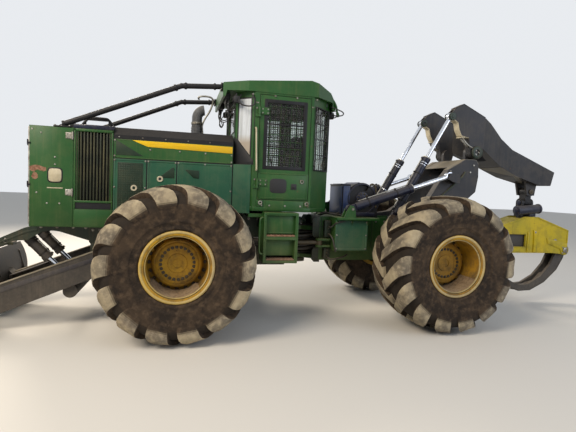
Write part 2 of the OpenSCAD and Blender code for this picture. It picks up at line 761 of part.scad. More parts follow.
module winch() {
    color("#2a2b2d") union() {
        y_bar(winch_pin, 0, 130, 420);
        y_bar(winch_pin, 0, 60, 620);
        for (y = [-230, 230]) y_bar(winch_pin, y, drum_flange, 30);
        for (y = [-290, 290]) xz_plate(concat([[740, rear_top], [1290, rear_top], [1260, 1780]],
            arc(winch_pin, 250, -10, 60, 8), [[1080, 1990], [760, 1990]]), y, 30);
        xz_plate(concat(arc(winch_pin, drum_flange + 40, 20, 150, 12), arc(winch_pin, drum_flange + 25, 150, 20, 12)), 0, 550);
        for (y = [-280, 280]) xz_plate(concat([[940, 1980]], arc(winch_pin, drum_flange + 40, 100, 150, 6)), y, 20);
        block([660, -300, rear_top], [790, 300, 2090]);
    }
}

// Arch

module arch_leg() {
    xz_plate([
        [1410, 1450], [1480, 1400], [2050, 1330], [2190, 1370], [2984, 2054], [3022, 2311], [3010, 2520],
        [2960, 2590], [2760, 2590], [2440, 2400], [2330, 2260], [2020, 1760], [1850, 1650], [1620, 1610], [1530, 1595], [1440, 1590]
    ], leg_span / 2, leg_t);
}

module arch() {
    half = leg_span / 2;
    lug_y = boom_in - 12 - 35;
    color("#3a3b3d") difference() {
        union() {
            pair() {
                difference() {
                    arch_leg();
                    xz_plate([[1380, 1380], [1640, 1380], [1600, 1700], [1380, 1700]], half, boom_cyl[4] + 2 * ear_gap);
                }
                y_bar(boom_base, half, boom_cyl[3], leg_t + 30);
                y_bar(boom_pivot, lug_y, 100, 70);
                xz_plate([[2850, 2580], [3020, 2580], [3050, 2720], [2850, 2720]], lug_y, 70);
                y_bar(boom_pivot, (lug_y + boom_out + 12) / 2, 45, boom_out + 12 - lug_y);
                y_bar(boom_pivot, boom_out + 12, 72, 14);
                for (side = [-1, 1])
                    xz_plate([[2350, 2240], [2420, 2200], [2520, 2180], [2520, 2330], [2420, 2345], [2370, 2335]],
                             arch_cyl_y + side * ear_off(arch_cyl, 30), 30);
                block([2470, half, 2180], [2560, arch_cyl_y + ear_off(arch_cyl, 60), 2330]);
            }
            block([2760, -half, 2420], [2960, half, 2590]);
            block([2960, -half + 60, 2100], [3010, half - 60, 2160]);
        }
        pair() y_bar(arch_pivot, half, 70 + pin_gap, leg_t + 2);
    }
}

module arch_barrels() { color("#26272b") pair() barrel(arch_base, arch_eye, arch_cyl_y, arch_cyl, 1100); }
module arch_rods() { color("#c8ccd0") pair() rod(arch_base, arch_eye, arch_cyl_y, arch_cyl, 800); }

// Boom: two arms that join into one box towards the tip

boom_out = leg_span / 2 + boom_arm_t / 2;
boom_in = leg_span / 2 - boom_arm_t / 2;

module boom() {
    out = boom_out;
    in = boom_in;
    color("#2c2d30") difference() {
        union() {
            intersection() {
                xz_plate(concat(
                    [[2440, 3345], [2512, 3425], [2660, 3500], [3260, 3235], [3870, 2840], [4920, 2490],
                     [4850, 2240], [4580, 2232], [4010, 2370], [3570, 2549], [3070, 2790]],
                    arc(boom_pivot, 108, 0, -180, 12),
                    [[2790, 2960], [2650, 2985], [2600, 3080], [2570, 3200], [2480, 3250], [2430, 3290]]
                ), 0, 1200);
                difference() {
                    xy_plate([[2300, out], [3100, out], [3600, 300], [5000, 175], [5000, -175], [3600, -300],
                              [3100, -out], [2300, -out]], 2000, 1700);
                    xy_plate([[2299, in], [3080, in], [3420, 170], [3420, -170], [3080, -in], [2299, -in]], 1999, 1702);
                }
            }
            pair() xz_plate([for (p = [[-80, -70], [80, -70], [130, 220], [-150, 220]]) tip_pin + p], 110, 40);
            pair() y_bar(tip_pin, 110, 80, 40);
        }
        pair() y_bar(boom_pivot, (in + out) / 2, 45 + pin_gap, boom_arm_t + 60);
        pair() xz_plate([[2380, 3130], [2380, 3400], [2590, 3400], [2590, 3130]], boom_cyl_y, boom_cyl[4] + 2 * ear_gap);
        y_bar(tip_pin, 0, 35 + pin_gap, 400);
    }
}

module boom_barrels() { color("#1f2c4a") pair() barrel(boom_base, boom_eye, boom_cyl_y, boom_cyl, 1180); }
module boom_rods() { color("#c8ccd0") pair() rod(boom_base, boom_eye, boom_cyl_y, boom_cyl, 900); }

// Grapple

module crosshead() {
    color("#242527") difference() {
        union() {
            y_bar(tip_pin, 0, 78, 170);
            y_bar(tip_pin, 0, 35, 280);
            block([tip_pin[0] - 60, -80, swing_z + 10], [tip_pin[0] + 60, 80, tip_pin[1]]);
            translate([tip_pin[0], 0, swing_z]) rotate([0, 90, 0]) cylinder(h = 160, r = 75, center = true);
        }
        translate([tip_pin[0], 0, swing_z]) rotate([0, 90, 0]) cylinder(h = 200, r = 35 + pin_gap, center = true);
    }
}

spindle_r = 55;

module swing_link() {
    color("#242527") union() {
        for (side = [-1, 1]) translate([tip_pin[0] + side * 105, 0, swing_z]) {
            rotate([0, 90, 0]) cylinder(h = 40, r = 80, center = true);
            block([-20, -80, 1640 - swing_z], [20, 80, 0]);
        }
        translate([tip_pin[0], 0, swing_z]) rotate([0, 90, 0]) cylinder(h = 250, r = 35, center = true);
        block([tip_pin[0] - 125, -110, 1640], [tip_pin[0] + 125, 110, 1700]);
        translate([tip_pin[0], 0, 1570]) cylinder(h = 71, r = 130);
        translate([tip_pin[0], 0, 1500]) cylinder(h = 80, r = spindle_r);
    }
}

// Yellow head: two side plates under a pitched roof, with the tong pins between them and the
// cylinder that works the tongs
module grapple_head() {
    c = tip_pin[0];
    end = tong_pin_reach + 60;
    ridge = [150, 1645];
    eave = [end, 1410];
    well = 230;
    ram_z = 1200;
    function roof_z(x) = ridge[1] - (x - ridge[0]) * (ridge[1] - eave[1]) / (eave[0] - ridge[0]);
    color("#e0c21c") difference() {
        union() {
            for (y = [-190, 190]) {
                difference() {
                    xz_plate([[c - end, eave[1]], [c - ridge[0], ridge[1]], [c + ridge[0], ridge[1]], [c + end, eave[1]],
                              [c + end, tong_pin_z - 90], [c + 520, tong_pin_z - 60], [c - 520, tong_pin_z - 60],
                              [c - end, tong_pin_z - 90]], y, 30);
                    xz_plate([[c - 470, 1085], [c - 110, 1085], [c - 110, 1315], [c - 470, 1315]], y, 40);
                }
                for (side = [-1, 1]) y_bar([c + side * tong_pin_reach, tong_pin_z], y, 100, 30);
            }
            for (side = [-1, 1]) {
                xz_plate([[c + side * well, roof_z(well) - 20], [c + side * well, roof_z(well)],
                          [c + side * end, eave[1]], [c + side * end, eave[1] - 20]], 0, 380);
                y_bar([c + side * tong_pin_reach, tong_pin_z], 0, 38, 440);
                y_bar([c + side * 560, ram_z], 0, 34, 400);
                xz_plate([[c + side * 180, 1450], [c + side * 200, 1450], [c + side * 250, roof_z(250) - 18],
                          [c + side * 230, roof_z(230) - 18]], 0, 360);
            }
            block([c - 240, -190, 1450], [c + 240, 190, 1480]);
            translate([c, 0, 1480]) cylinder(h = 85, r = 150);
            translate([c - 560, 0, ram_z]) rotate([0, 90, 0]) cylinder(h = 800, r = 72);
            translate([c + 200, 0, ram_z]) rotate([0, 90, 0]) cylinder(h = 360, r = 38);
        }
        translate([c, 0, 1440]) cylinder(h = 130, r = spindle_r + pin_gap);
    }
}

// One tong about its pin, curving down and in
module tong(side, ys) {
    c = tip_pin[0];
    pin = [c + side * tong_pin_reach, tong_pin_z];
    outline = [for (p = [[-30, 110], [70, 95], [110, 0], [80, -160], [-60, -400], [-330, -640], [-640, -790],
                         [-900, -800], [-1180, -700], [-1350, -480], [-1290, -470], [-1130, -620], [-890, -690],
                         [-680, -670], [-420, -530], [-210, -300], [-100, -60], [-90, 60]])
        [pin[0] + side * p[0], pin[1] + p[1]]];
    color("#1f2021") difference() {
        union() {
            for (y = ys) xz_plate(outline, y, tong_t);
            if (len(ys) > 1) {
                y_bar(pin, 0, 70, ys[1] - ys[0]);
                xz_plate([for (p = [[70, 60], [105, 0], [78, -150], [-55, -385], [-90, -360], [45, -140], [70, 0]])
                    [pin[0] + side * p[0], pin[1] + p[1]]], 0, ys[1] - ys[0]);
            } else y_bar(pin, 0, 70, 320);
        }
        y_bar(pin, 0, 38 + pin_gap, 500);
    }
}

module tong_front() { tong(-1, [0]); }
module tong_rear() { tong(1, [-90, 90]); }

module placed() { translate([-centre_x, 0, 0]) children(); }

placed() front_frame();
placed() front_axle();
placed() engine_block();
placed() cooling_box();
placed() side_grilles();
placed() engine_hood();
placed() cooler_core();
placed() hood_top();
placed() exhaust_stack();
placed() limb_risers();
placed() cab_shell();
placed() cab_roof();
placed() cab_glass();
placed() cab_interior();
placed() side_boxes();
placed() step_boxes();
placed() work_lamps();
placed() door(-1);  // door_left
placed() door_glass(-1);  // door_left_glass
placed() door(1);  // door_right
placed() door_glass(1);  // door_right_glass
placed() blade_frame();
placed() blade();
placed() blade_barrels();
placed() blade_rods();
placed() steer_barrel(-1);  // steer_barrel_left
placed() steer_rod(-1);  // steer_rod_left
placed() steer_barrel(1);  // steer_barrel_right
placed() steer_rod(1);  // steer_rod_right
color("#2b2a29") placed() wheel_place(front_axle_x, -1) tyre();  // tyre_front_left
color("#2b2a29") placed() wheel_place(front_axle_x, 1) tyre();  // tyre_front_right
color("#2b2a29") placed() wheel_place(rear_axle_x, -1) tyre();  // tyre_rear_left
color("#2b2a29") placed() wheel_place(rear_axle_x, 1) tyre();  // tyre_rear_right
color("#c9a227") placed() wheel_place(front_axle_x, -1) rim();  // rim_front_left
color("#c9a227") placed() wheel_place(front_axle_x, 1) rim();  // rim_front_right
color("#c9a227") placed() wheel_place(rear_axle_x, -1) rim();  // rim_rear_left
color("#c9a227") placed() wheel_place(rear_axle_x, 1) rim();  // rim_rear_right
placed() rear_frame();
placed() rear_axle();
placed() winch();
placed() arch();
placed() arch_barrels();
placed() arch_rods();
placed() boom();
placed() boom_barrels();
placed() boom_rods();
placed() crosshead();
placed() swing_link();
placed() grapple_head();
placed() tong_front();
placed() tong_rear();
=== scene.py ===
# %% [markdown]
# # A grapple skidder, worn and dusty
# A forestry machine on four wheels, hinged in its middle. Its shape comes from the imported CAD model,
# which this script loads and never moves. What is added here is what paint, dirt, rubber, glass and
# small fittings give it: a tread with rounded lugs, panels, bolts, hoses, lamps and finishes.

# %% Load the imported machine
import json
import math

import bmesh
import bpy
from mathutils import Matrix, Vector, noise


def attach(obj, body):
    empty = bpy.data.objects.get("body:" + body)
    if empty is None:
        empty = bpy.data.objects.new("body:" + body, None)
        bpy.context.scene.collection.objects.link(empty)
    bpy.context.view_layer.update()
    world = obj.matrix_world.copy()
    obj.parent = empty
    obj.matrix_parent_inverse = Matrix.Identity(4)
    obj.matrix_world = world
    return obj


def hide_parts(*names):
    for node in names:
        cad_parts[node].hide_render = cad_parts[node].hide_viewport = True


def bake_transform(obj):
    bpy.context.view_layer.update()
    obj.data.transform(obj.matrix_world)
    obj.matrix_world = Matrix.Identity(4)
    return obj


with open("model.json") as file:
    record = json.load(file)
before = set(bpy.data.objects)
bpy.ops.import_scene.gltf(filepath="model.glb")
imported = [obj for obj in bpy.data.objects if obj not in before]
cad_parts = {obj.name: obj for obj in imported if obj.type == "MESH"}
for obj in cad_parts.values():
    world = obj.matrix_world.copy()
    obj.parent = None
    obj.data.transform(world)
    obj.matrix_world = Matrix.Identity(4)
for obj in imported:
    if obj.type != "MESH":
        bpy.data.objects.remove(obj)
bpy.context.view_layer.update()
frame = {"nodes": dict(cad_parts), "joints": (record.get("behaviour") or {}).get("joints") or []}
MM = 0.001
joint_places = {joint["name"]: joint.get("pos_m") for joint in frame["joints"]}
HINGE_X = joint_places["articulation"][0]


def at(x, y, z):
    """A place in machine millimetres, counted from the hinge between the frames, in metres."""
    return Vector((x * MM + HINGE_X, y * MM, z * MM))


# %% [markdown]
# ## Camera, floor and light
# The camera stands as it did for the photograph, a little ahead of the cab and 2 m up, with a wide
# lens held slightly crooked. A pale floor and a bright, even room give soft shadows, so the colours
# come out about as they are written.

# %% Camera
IMAGE_WIDTH_PX = 576
FOCAL_PX = 429.75
SENSOR_MM = 36.0
camera_data = bpy.data.cameras.new("photo_camera")
camera_data.sensor_width = SENSOR_MM
camera_data.lens = FOCAL_PX / IMAGE_WIDTH_PX * SENSOR_MM
camera = bpy.data.objects.new("photo_camera", camera_data)
bpy.context.scene.collection.objects.link(camera)
bpy.context.scene.camera = camera

CAMERA_PLACE = at(-1897, -6837, 1962)
CAMERA_YAW, CAMERA_PITCH, CAMERA_ROLL = (math.radians(a) for a in (-14.25, -3.52, -2.42))
turn = (
    Matrix.Rotation(CAMERA_YAW, 3, "Z")
    @ Matrix.Rotation(CAMERA_PITCH, 3, "X")
    @ Matrix.Rotation(CAMERA_ROLL, 3, "Y")
)
right, forward, up = turn.col
camera.matrix_world = Matrix.Translation(CAMERA_PLACE) @ Matrix((right, up, -forward)).transposed().to_4x4()


# %% Colours, and one function that adds a node
def colour(hex_code):
    """A hex sRGB colour as linear values with alpha 1."""
    values = [int(hex_code[i:i + 2], 16) / 255 for i in (1, 3, 5)]
    linear = [v / 12.92 if v <= 0.04045 else ((v + 0.055) / 1.055) ** 2.4 for v in values]
    return (*linear, 1.0)


def add(tree, kind, links=None, **settings):
    """Adds a node: settings are its own properties, links its inputs, as values or as other sockets."""
    made = tree.nodes.new(kind)
    for name, value in settings.items():
        setattr(made, name, value)
    for name, value in (links or {}).items():
        if isinstance(value, bpy.types.NodeSocket):
            tree.links.new(value, made.inputs[name])
        else:
            made.inputs[name].default_value = value
    return made


def new_material(name):
    material = bpy.data.materials.new(name)
    material.use_nodes = True
    material.node_tree.nodes.clear()
    return material, material.node_tree


# %% Floor
def floor_finish():
    """Matt pale card, a touch warm, that keeps the machine's soft shadow."""
    material, tree = new_material("pale_floor")
    shader = add(tree, "ShaderNodeBsdfPrincipled", {"Base Color": colour("#d9d5cd"), "Roughness": 0.9})
    add(tree, "ShaderNodeOutputMaterial", {"Surface": shader.outputs[0]})
    return material


FLOOR_REACH = 60.0
floor_mesh = bpy.data.meshes.new("floor")
bm = bmesh.new()
bmesh.ops.create_grid(bm, x_segments=1, y_segments=1, size=FLOOR_REACH)
bm.to_mesh(floor_mesh)
bm.free()
floor = bpy.data.objects.new("floor", floor_mesh)
floor.data.materials.append(floor_finish())
bpy.context.scene.collection.objects.link(floor)

# %% Room light and lamps
scene = bpy.context.scene
scene.view_settings.view_transform = "Standard"
world = bpy.data.worlds.new("pale_room")
scene.world = world
world.use_nodes = True
tree = world.node_tree
tree.nodes.clear()
path = add(tree, "ShaderNodeLightPath")
seen = add(tree, "ShaderNodeMath", {0: path.outputs["Is Camera Ray"], 1: path.outputs["Is Glossy Ray"]},
           operation="MAXIMUM")
seen = add(tree, "ShaderNodeMath", {0: seen.outputs[0], 1: path.outputs["Is Transmission Ray"]},
           operation="MAXIMUM")
room = add(tree, "ShaderNodeBackground", {"Color": colour("#dfe6f0"), "Strength": 0.52})
backdrop = add(tree, "ShaderNodeBackground", {"Color": colour("#eef1f5"), "Strength": 0.95})
both = add(tree, "ShaderNodeMixShader", {0: seen.outputs[0], 1: room.outputs[0], 2: backdrop.outputs[0]})
add(tree, "ShaderNodeOutputWorld", {"Surface": both.outputs[0]})


def soft_lamp(name, place, target, size, power, tint):
    """A large square lamp that points at a target."""
    data = bpy.data.lights.new(name, "AREA")
    data.shape = "SQUARE"
    data.size = size
    data.energy = power
    data.color = colour(tint)[:3]
    lamp = bpy.data.objects.new(name, data)
    lamp.location = place
    lamp.rotation_euler = (target - place).to_track_quat("-Z", "Y").to_euler()
    scene.collection.objects.link(lamp)


MIDDLE = Vector((0, 0, 1.6))
soft_lamp("key_lamp", Vector((-9, -7, 9)), MIDDLE, 5.0, 1350, "#fff1dd")
soft_lamp("back_lamp", Vector((-6, 9, 9)), MIDDLE, 4.0, 1300, "#fff3e2")
soft_lamp("fill_lamp", Vector((8, -9, 5)), MIDDLE, 7.0, 420, "#e6eeff")

# %% [markdown]
# ## Finishes
# Nearly all of this machine is paint on steel, bare steel, rubber or glass, and over all of it
# lies the dust of a logging road. Dust settles on what faces up and on what is low, rain draws it down
# in streaks, and paint comes off first along the edges. The same few patterns give all of that, so one
# function makes every painted finish.


# %% Patterns that the finishes share
def patch(tree, where, scale, low, high, detail=4.0, stretch=(1, 1, 1), rough=0.55):
    """A soft-edged mask of patches: scale is how many to the metre, low and high are its thresholds."""
    moved = add(tree, "ShaderNodeMapping", {"Vector": where, "Scale": stretch})
    field = add(tree, "ShaderNodeTexNoise", {"Vector": moved.outputs[0], "Scale": scale, "Detail": detail,
                                             "Roughness": rough})
    mask = add(tree, "ShaderNodeMapRange", {"Value": field.outputs[0], "From Min": low, "From Max": high},
               interpolation_type="SMOOTHSTEP")
    return mask.outputs[0], field.outputs[0]


def combine(tree, operation, a, b, clamp=True):
    return add(tree, "ShaderNodeMath", {0: a, 1: b}, operation=operation, use_clamp=clamp).outputs[0]


def blend_colours(tree, mask, a, b):
    return add(tree, "ShaderNodeMix", {0: mask, 6: a, 7: b}, data_type="RGBA").outputs[2]


def lying_dirt(tree, where, settle, low_mud, low_top):
    """How much dirt lies on a point: settle on what faces up, low_mud on what is under low_top metres."""
    normal = add(tree, "ShaderNodeNewGeometry").outputs["Normal"]
    upward = add(tree, "ShaderNodeSeparateXYZ", {0: normal}).outputs[2]
    top = add(tree, "ShaderNodeMapRange", {"Value": upward, "From Min": 0.2, "From Max": 0.95,
                                           "To Max": settle}).outputs[0]
    height = add(tree, "ShaderNodeSeparateXYZ", {0: where}).outputs[2]
    low = add(tree, "ShaderNodeMapRange", {"Value": height, "From Min": low_top, "From Max": 0.25,
                                           "To Max": low_mud}).outputs[0]
    return combine(tree, "ADD", top, low)


EDGE_MM = 5.0


def soft_edges(tree, radius_mm=EDGE_MM):
    """The normal with every corner rounded a little, and a mask that is 1 on those corners."""
    rounded = add(tree, "ShaderNodeBevel", {"Radius": radius_mm * MM}, samples=4).outputs[0]
    flat = add(tree, "ShaderNodeNewGeometry").outputs["Normal"]
    dot = add(tree, "ShaderNodeVectorMath", {0: rounded, 1: flat}, operation="DOT_PRODUCT").outputs["Value"]
    edge = add(tree, "ShaderNodeMapRange", {"Value": dot, "From Min": 0.985, "From Max": 0.80}).outputs[0]
    return rounded, edge


# %% Enamel on steel
def enamel(name, paint, faded, bare="#6b4630", dirt="#94826a", gloss=0.38, settle=0.75, low_mud=0.6,
           low_top=1.5, chips=0.5, streaks=0.35, haze=0.12):
    """Sprayed two-pack enamel: glossy under a film of dust, faded in patches, chipped to rust at edges."""
    material, tree = new_material(name)
    where = add(tree, "ShaderNodeTexCoord").outputs["Object"]
    rounded, edge = soft_edges(tree)
    fade, _ = patch(tree, where, 0.9, 0.35, 0.68, detail=3.0)
    _, grain = patch(tree, where, 26.0, 0.38, 0.66, detail=9.0, rough=0.7)
    runs, _ = patch(tree, where, 1.0, 0.50, 0.72, detail=7.0, stretch=(22, 22, 1.1), rough=0.65)
    blot, _ = patch(tree, where, 5.0, 0.44, 0.62, detail=8.0, rough=0.65)
    lying = lying_dirt(tree, where, settle, low_mud, low_top)
    uneven = add(tree, "ShaderNodeMapRange", {"Value": grain, "From Min": 0.3, "From Max": 0.7,
                                              "To Min": 0.55, "To Max": 1.15}).outputs[0]
    lying = combine(tree, "MULTIPLY", lying, uneven)
    streaky = combine(tree, "MULTIPLY", runs, streaks)
    film = combine(tree, "MULTIPLY", blot, haze)
    dusty = combine(tree, "ADD", combine(tree, "ADD", lying, streaky), film)
    worn, _ = patch(tree, where, 17.0, 0.50, 0.60, detail=6.0, rough=0.7)
    chip = combine(tree, "MULTIPLY", combine(tree, "MULTIPLY", edge, worn), chips)
    spots, _ = patch(tree, where, 9.0, 0.70, 0.735, detail=5.0, rough=0.6)
    chip = combine(tree, "ADD", chip, combine(tree, "MULTIPLY", spots, chips))
    base = blend_colours(tree, fade, colour(paint), colour(faded))
    base = blend_colours(tree, dusty, base, colour(dirt))
    base = blend_colours(tree, chip, base, colour(bare))
    rough = add(tree, "ShaderNodeMapRange", {"Value": combine(tree, "ADD", dusty, chip), "To Min": gloss,
                                             "To Max": 0.92}).outputs[0]
    height = combine(tree, "ADD", combine(tree, "MULTIPLY", dusty, grain, clamp=False),
                     combine(tree, "MULTIPLY", chip, -0.8, clamp=False), clamp=False)
    bump = add(tree, "ShaderNodeBump", {"Strength": 0.35, "Distance": 1.5 * MM, "Height": height,
                                        "Normal": rounded}).outputs[0]
    shader = add(tree, "ShaderNodeBsdfPrincipled", {"Base Color": base, "Roughness": rough, "Normal": bump,
                                                    "IOR": 1.5, "Specular IOR Level": 0.3})
    add(tree, "ShaderNodeOutputMaterial", {"Surface": shader.outputs[0]})
    return material


GREEN_ENAMEL = enamel("green_enamel", "#1d481c", "#2a5429", dirt="#76714a", gloss=0.36, settle=0.45,
                      streaks=0.13, haze=0.07, chips=0.4)
BLUE_GREEN_ENAMEL = enamel("repainted_green_enamel", "#1b4634", "#28593f", dirt="#77785c", gloss=0.4,
                           settle=0.45, streaks=0.10, haze=0.08, chips=0.4)
BLACK_ENAMEL = enamel("black_enamel", "#0b0c10", "#131418", bare="#5a4234", dirt="#5f574b", gloss=0.48,
                      settle=0.25, streaks=0.05, haze=0.03)
DUSTY_ENAMEL = enamel("dust_worn_enamel", "#6f6b62", "#585550", bare="#6b4630", dirt="#877c66", gloss=0.55,
                      settle=0.35, streaks=0.25, haze=0.3, chips=0.5)
# Painted shade: a dark green for the recesses in the hood doors and for the dark behind the first door's
# mesh.
RECESS_SHADE_ENAMEL = enamel("recess_shade_enamel", "#15271a", "#1b3020", dirt="#5f5f45", gloss=0.5, settle=0.3,
                      streaks=0.1, haze=0.08, chips=0.2)
RING_ENAMEL = enamel("dusty_ring_enamel", "#c2a552", "#b5a478", bare="#5c3c22", dirt="#8c7c5c", gloss=0.5,
                     settle=0.4, low_mud=0.4, low_top=1.2, chips=0.8, streaks=0.25, haze=0.4)
GRILLE_ENAMEL = enamel("streaked_grille_enamel", "#1a2016", "#262b1d", dirt="#77704c", gloss=0.5, settle=0.5,
                       streaks=0.4, haze=0.12, chips=0.15)
FRAME_ENAMEL = enamel("muddy_frame_enamel", "#1d2c22", "#2a3628", dirt="#5f503e", settle=0.6, low_mud=0.75,
                      low_top=1.35, chips=0.7, streaks=0.25)
BOOM_ENAMEL = enamel("charcoal_enamel", "#1c1d20", "#28282b", bare="#6a4a36", dirt="#786e60", settle=0.4,
                     low_mud=0.4, chips=0.7, gloss=0.48, streaks=0.12, haze=0.1)
YELLOW_ENAMEL = enamel("yellow_enamel", "#bda30e", "#978c18", bare="#4c4438", dirt="#5f5a2a", gloss=0.34,
                       settle=0.5, low_mud=0.35, low_top=1.3, chips=0.9, streaks=0.3, haze=0.3)
STRIPE_ENAMEL = enamel("stripe_enamel", "#e4bd14", "#d9ae16", dirt="#a8925c", settle=0.3, low_mud=0.0,
                       chips=0.1, streaks=0.08, haze=0.05)
RIM_ENAMEL = enamel("muddy_rim_enamel", "#c0941a", "#a0761e", bare="#5c3c22", dirt="#64502f", gloss=0.5,
                    settle=0.7, low_mud=0.6, low_top=1.3, chips=0.9, streaks=0.35, haze=0.55)
NAVY_ENAMEL = enamel("navy_black_enamel", "#0f1427", "#181f34", dirt="#6f675b", gloss=0.34, settle=0.35,
                     streaks=0.1, haze=0.08, chips=0.5)
STEEL_BLUE_ENAMEL = enamel("steel_blue_enamel", "#1f2f55", "#304569", dirt="#7c766c", gloss=0.36, settle=0.35,
                           streaks=0.15, haze=0.15, chips=0.6)
PALE_ENAMEL = enamel("worn_cream_enamel", "#c9c0a8", "#b3a98f", bare="#6b4630", dirt="#8c8064", gloss=0.5,
                     settle=0.3, low_mud=0.0, streaks=0.3, haze=0.3, chips=0.5)


# %% Rubber, chrome, glass and the rest
def tyre_rubber():
    """Black natural-rubber tread: dust dries pale on the crowns of the bars, clay cakes the side walls,
    and the carcass between the bars is darkened as painted shade.
    """
    material, tree = new_material("dusty_tyre_rubber_with_gap_shade")
    where = add(tree, "ShaderNodeTexCoord").outputs["Object"]
    crown = add(tree, "ShaderNodeAttribute", attribute_name="crown", attribute_type="GEOMETRY").outputs["Fac"]
    _, grain = patch(tree, where, 55.0, 0.3, 0.7, detail=9.0, rough=0.75)
    cake, _ = patch(tree, where, 3.2, 0.40, 0.62, detail=8.0, rough=0.68)
    clods, clod = patch(tree, where, 14.0, 0.45, 0.70, detail=7.0, rough=0.6)
    wall = blend_colours(tree, cake, colour("#251e18"), colour("#3f3327"))
    wall = blend_colours(tree, combine(tree, "MULTIPLY", clods, 0.4), wall, colour("#64523f"))
    broad, _ = patch(tree, where, 1.6, 0.42, 0.60, detail=5.0, rough=0.6)
    lug = blend_colours(tree, cake, colour("#a09379"), colour("#74695a"))
    lug = blend_colours(tree, combine(tree, "MULTIPLY", broad, 0.6), lug, colour("#5b564d"))
    lug = blend_colours(tree, combine(tree, "MULTIPLY", clods, 0.5), lug, colour("#b8ab90"))
    _, edge = soft_edges(tree, 12.0)
    lug = blend_colours(tree, combine(tree, "MULTIPLY", edge, 0.5), lug, colour("#c4b699"))
    mask = add(tree, "ShaderNodeMapRange", {"Value": crown, "From Min": 0.1, "From Max": 0.7},
               interpolation_type="SMOOTHSTEP").outputs[0]
    # Painted shade: the carcass between the bars, where crown is below zero, is darkened towards near-black
    # brown.
    gap_shade = add(tree, "ShaderNodeMapRange", {"Value": crown, "From Min": 0.0, "From Max": -0.9,
                                           "To Max": 0.85}).outputs[0]
    wall = blend_colours(tree, gap_shade, wall, colour("#28221c"))
    base = blend_colours(tree, mask, wall, lug)
    height = combine(tree, "ADD", combine(tree, "MULTIPLY", clod, 1.0, clamp=False), grain, clamp=False)
    bump = add(tree, "ShaderNodeBump", {"Strength": 0.55, "Distance": 4 * MM, "Height": height}).outputs[0]
    shader = add(tree, "ShaderNodeBsdfPrincipled", {"Base Color": base, "Roughness": 0.88, "Normal": bump,
                                                    "Specular IOR Level": 0.25})
    add(tree, "ShaderNodeOutputMaterial", {"Surface": shader.outputs[0]})
    return material


def metal(name, clean, dull, rough, stain="#3a332b", stain_amount=0.3, spread=1.0):
    """Bare metal: a clean and a dull tone in patches, oily stains, and a gloss that varies with the grain."""
    material, tree = new_material(name)
    where = add(tree, "ShaderNodeTexCoord").outputs["Object"]
    rounded, _ = soft_edges(tree, 3.0)
    dulled, grain = patch(tree, where, 12.0, 0.35, 0.65, detail=8.0, rough=0.7)
    stained, _ = patch(tree, where, 6.0, 0.52, 0.68, detail=6.0)
    base = blend_colours(tree, dulled, colour(clean), colour(dull))
    base = blend_colours(tree, combine(tree, "MULTIPLY", stained, stain_amount), base, colour(stain))
    gloss = add(tree, "ShaderNodeMapRange", {"Value": grain, "From Min": 0.3, "From Max": 0.7,
                                             "To Min": rough, "To Max": rough + 0.25 * spread}).outputs[0]
    bump = add(tree, "ShaderNodeBump", {"Strength": 0.15, "Distance": 0.5 * MM, "Height": grain,
                                        "Normal": rounded}).outputs[0]
    shader = add(tree, "ShaderNodeBsdfPrincipled", {"Base Color": base, "Metallic": 1.0, "Roughness": gloss,
                                                    "Normal": bump})
    add(tree, "ShaderNodeOutputMaterial", {"Surface": shader.outputs[0]})
    return material


def rough_coating(name, tone, second, dirt, roughness=0.8, bump_mm=1.0, scale=30.0, dirt_amount=0.7):
    """A dull moulded or cast surface with dirt in it: plastic trim, hoses, cast housings."""
    material, tree = new_material(name)
    where = add(tree, "ShaderNodeTexCoord").outputs["Object"]
    rounded, _ = soft_edges(tree, 4.0)
    mottle, grain = patch(tree, where, scale, 0.35, 0.65, detail=8.0, rough=0.7)
    lying = lying_dirt(tree, where, dirt_amount, dirt_amount, 1.4)
    lying = combine(tree, "MULTIPLY", lying, combine(tree, "ADD", mottle, 0.35))
    base = blend_colours(tree, mottle, colour(tone), colour(second))
    base = blend_colours(tree, lying, base, colour(dirt))
    bump = add(tree, "ShaderNodeBump", {"Strength": 0.4, "Distance": bump_mm * MM, "Height": grain,
                                        "Normal": rounded}).outputs[0]
    shader = add(tree, "ShaderNodeBsdfPrincipled", {"Base Color": base, "Roughness": roughness,
                                                    "Normal": bump, "IOR": 1.5})
    add(tree, "ShaderNodeOutputMaterial", {"Surface": shader.outputs[0]})
    return material


def safety_glass():
    """Clear laminated panes, faintly green, with a film of dust that dulls the reflection in patches."""
    material, tree = new_material("dusty_safety_glass")
    where = add(tree, "ShaderNodeTexCoord").outputs["Object"]
    film, _ = patch(tree, where, 4.0, 0.35, 0.75, detail=7.0, rough=0.65)
    rough = add(tree, "ShaderNodeMapRange", {"Value": film, "To Min": 0.01, "To Max": 0.07}).outputs[0]
    clear = add(tree, "ShaderNodeBsdfPrincipled", {"Base Color": colour("#e2e9e5"), "Roughness": rough,
                                                   "Transmission Weight": 1.0, "IOR": 1.45})
    dusty = add(tree, "ShaderNodeBsdfPrincipled", {"Base Color": colour("#b3aa98"), "Roughness": 0.9})
    amount = add(tree, "ShaderNodeMapRange", {"Value": film, "To Min": 0.02, "To Max": 0.10}).outputs[0]
    mixed = add(tree, "ShaderNodeMixShader", {0: amount, 1: clear.outputs[0], 2: dusty.outputs[0]})
    add(tree, "ShaderNodeOutputMaterial", {"Surface": mixed.outputs[0]})
    return material


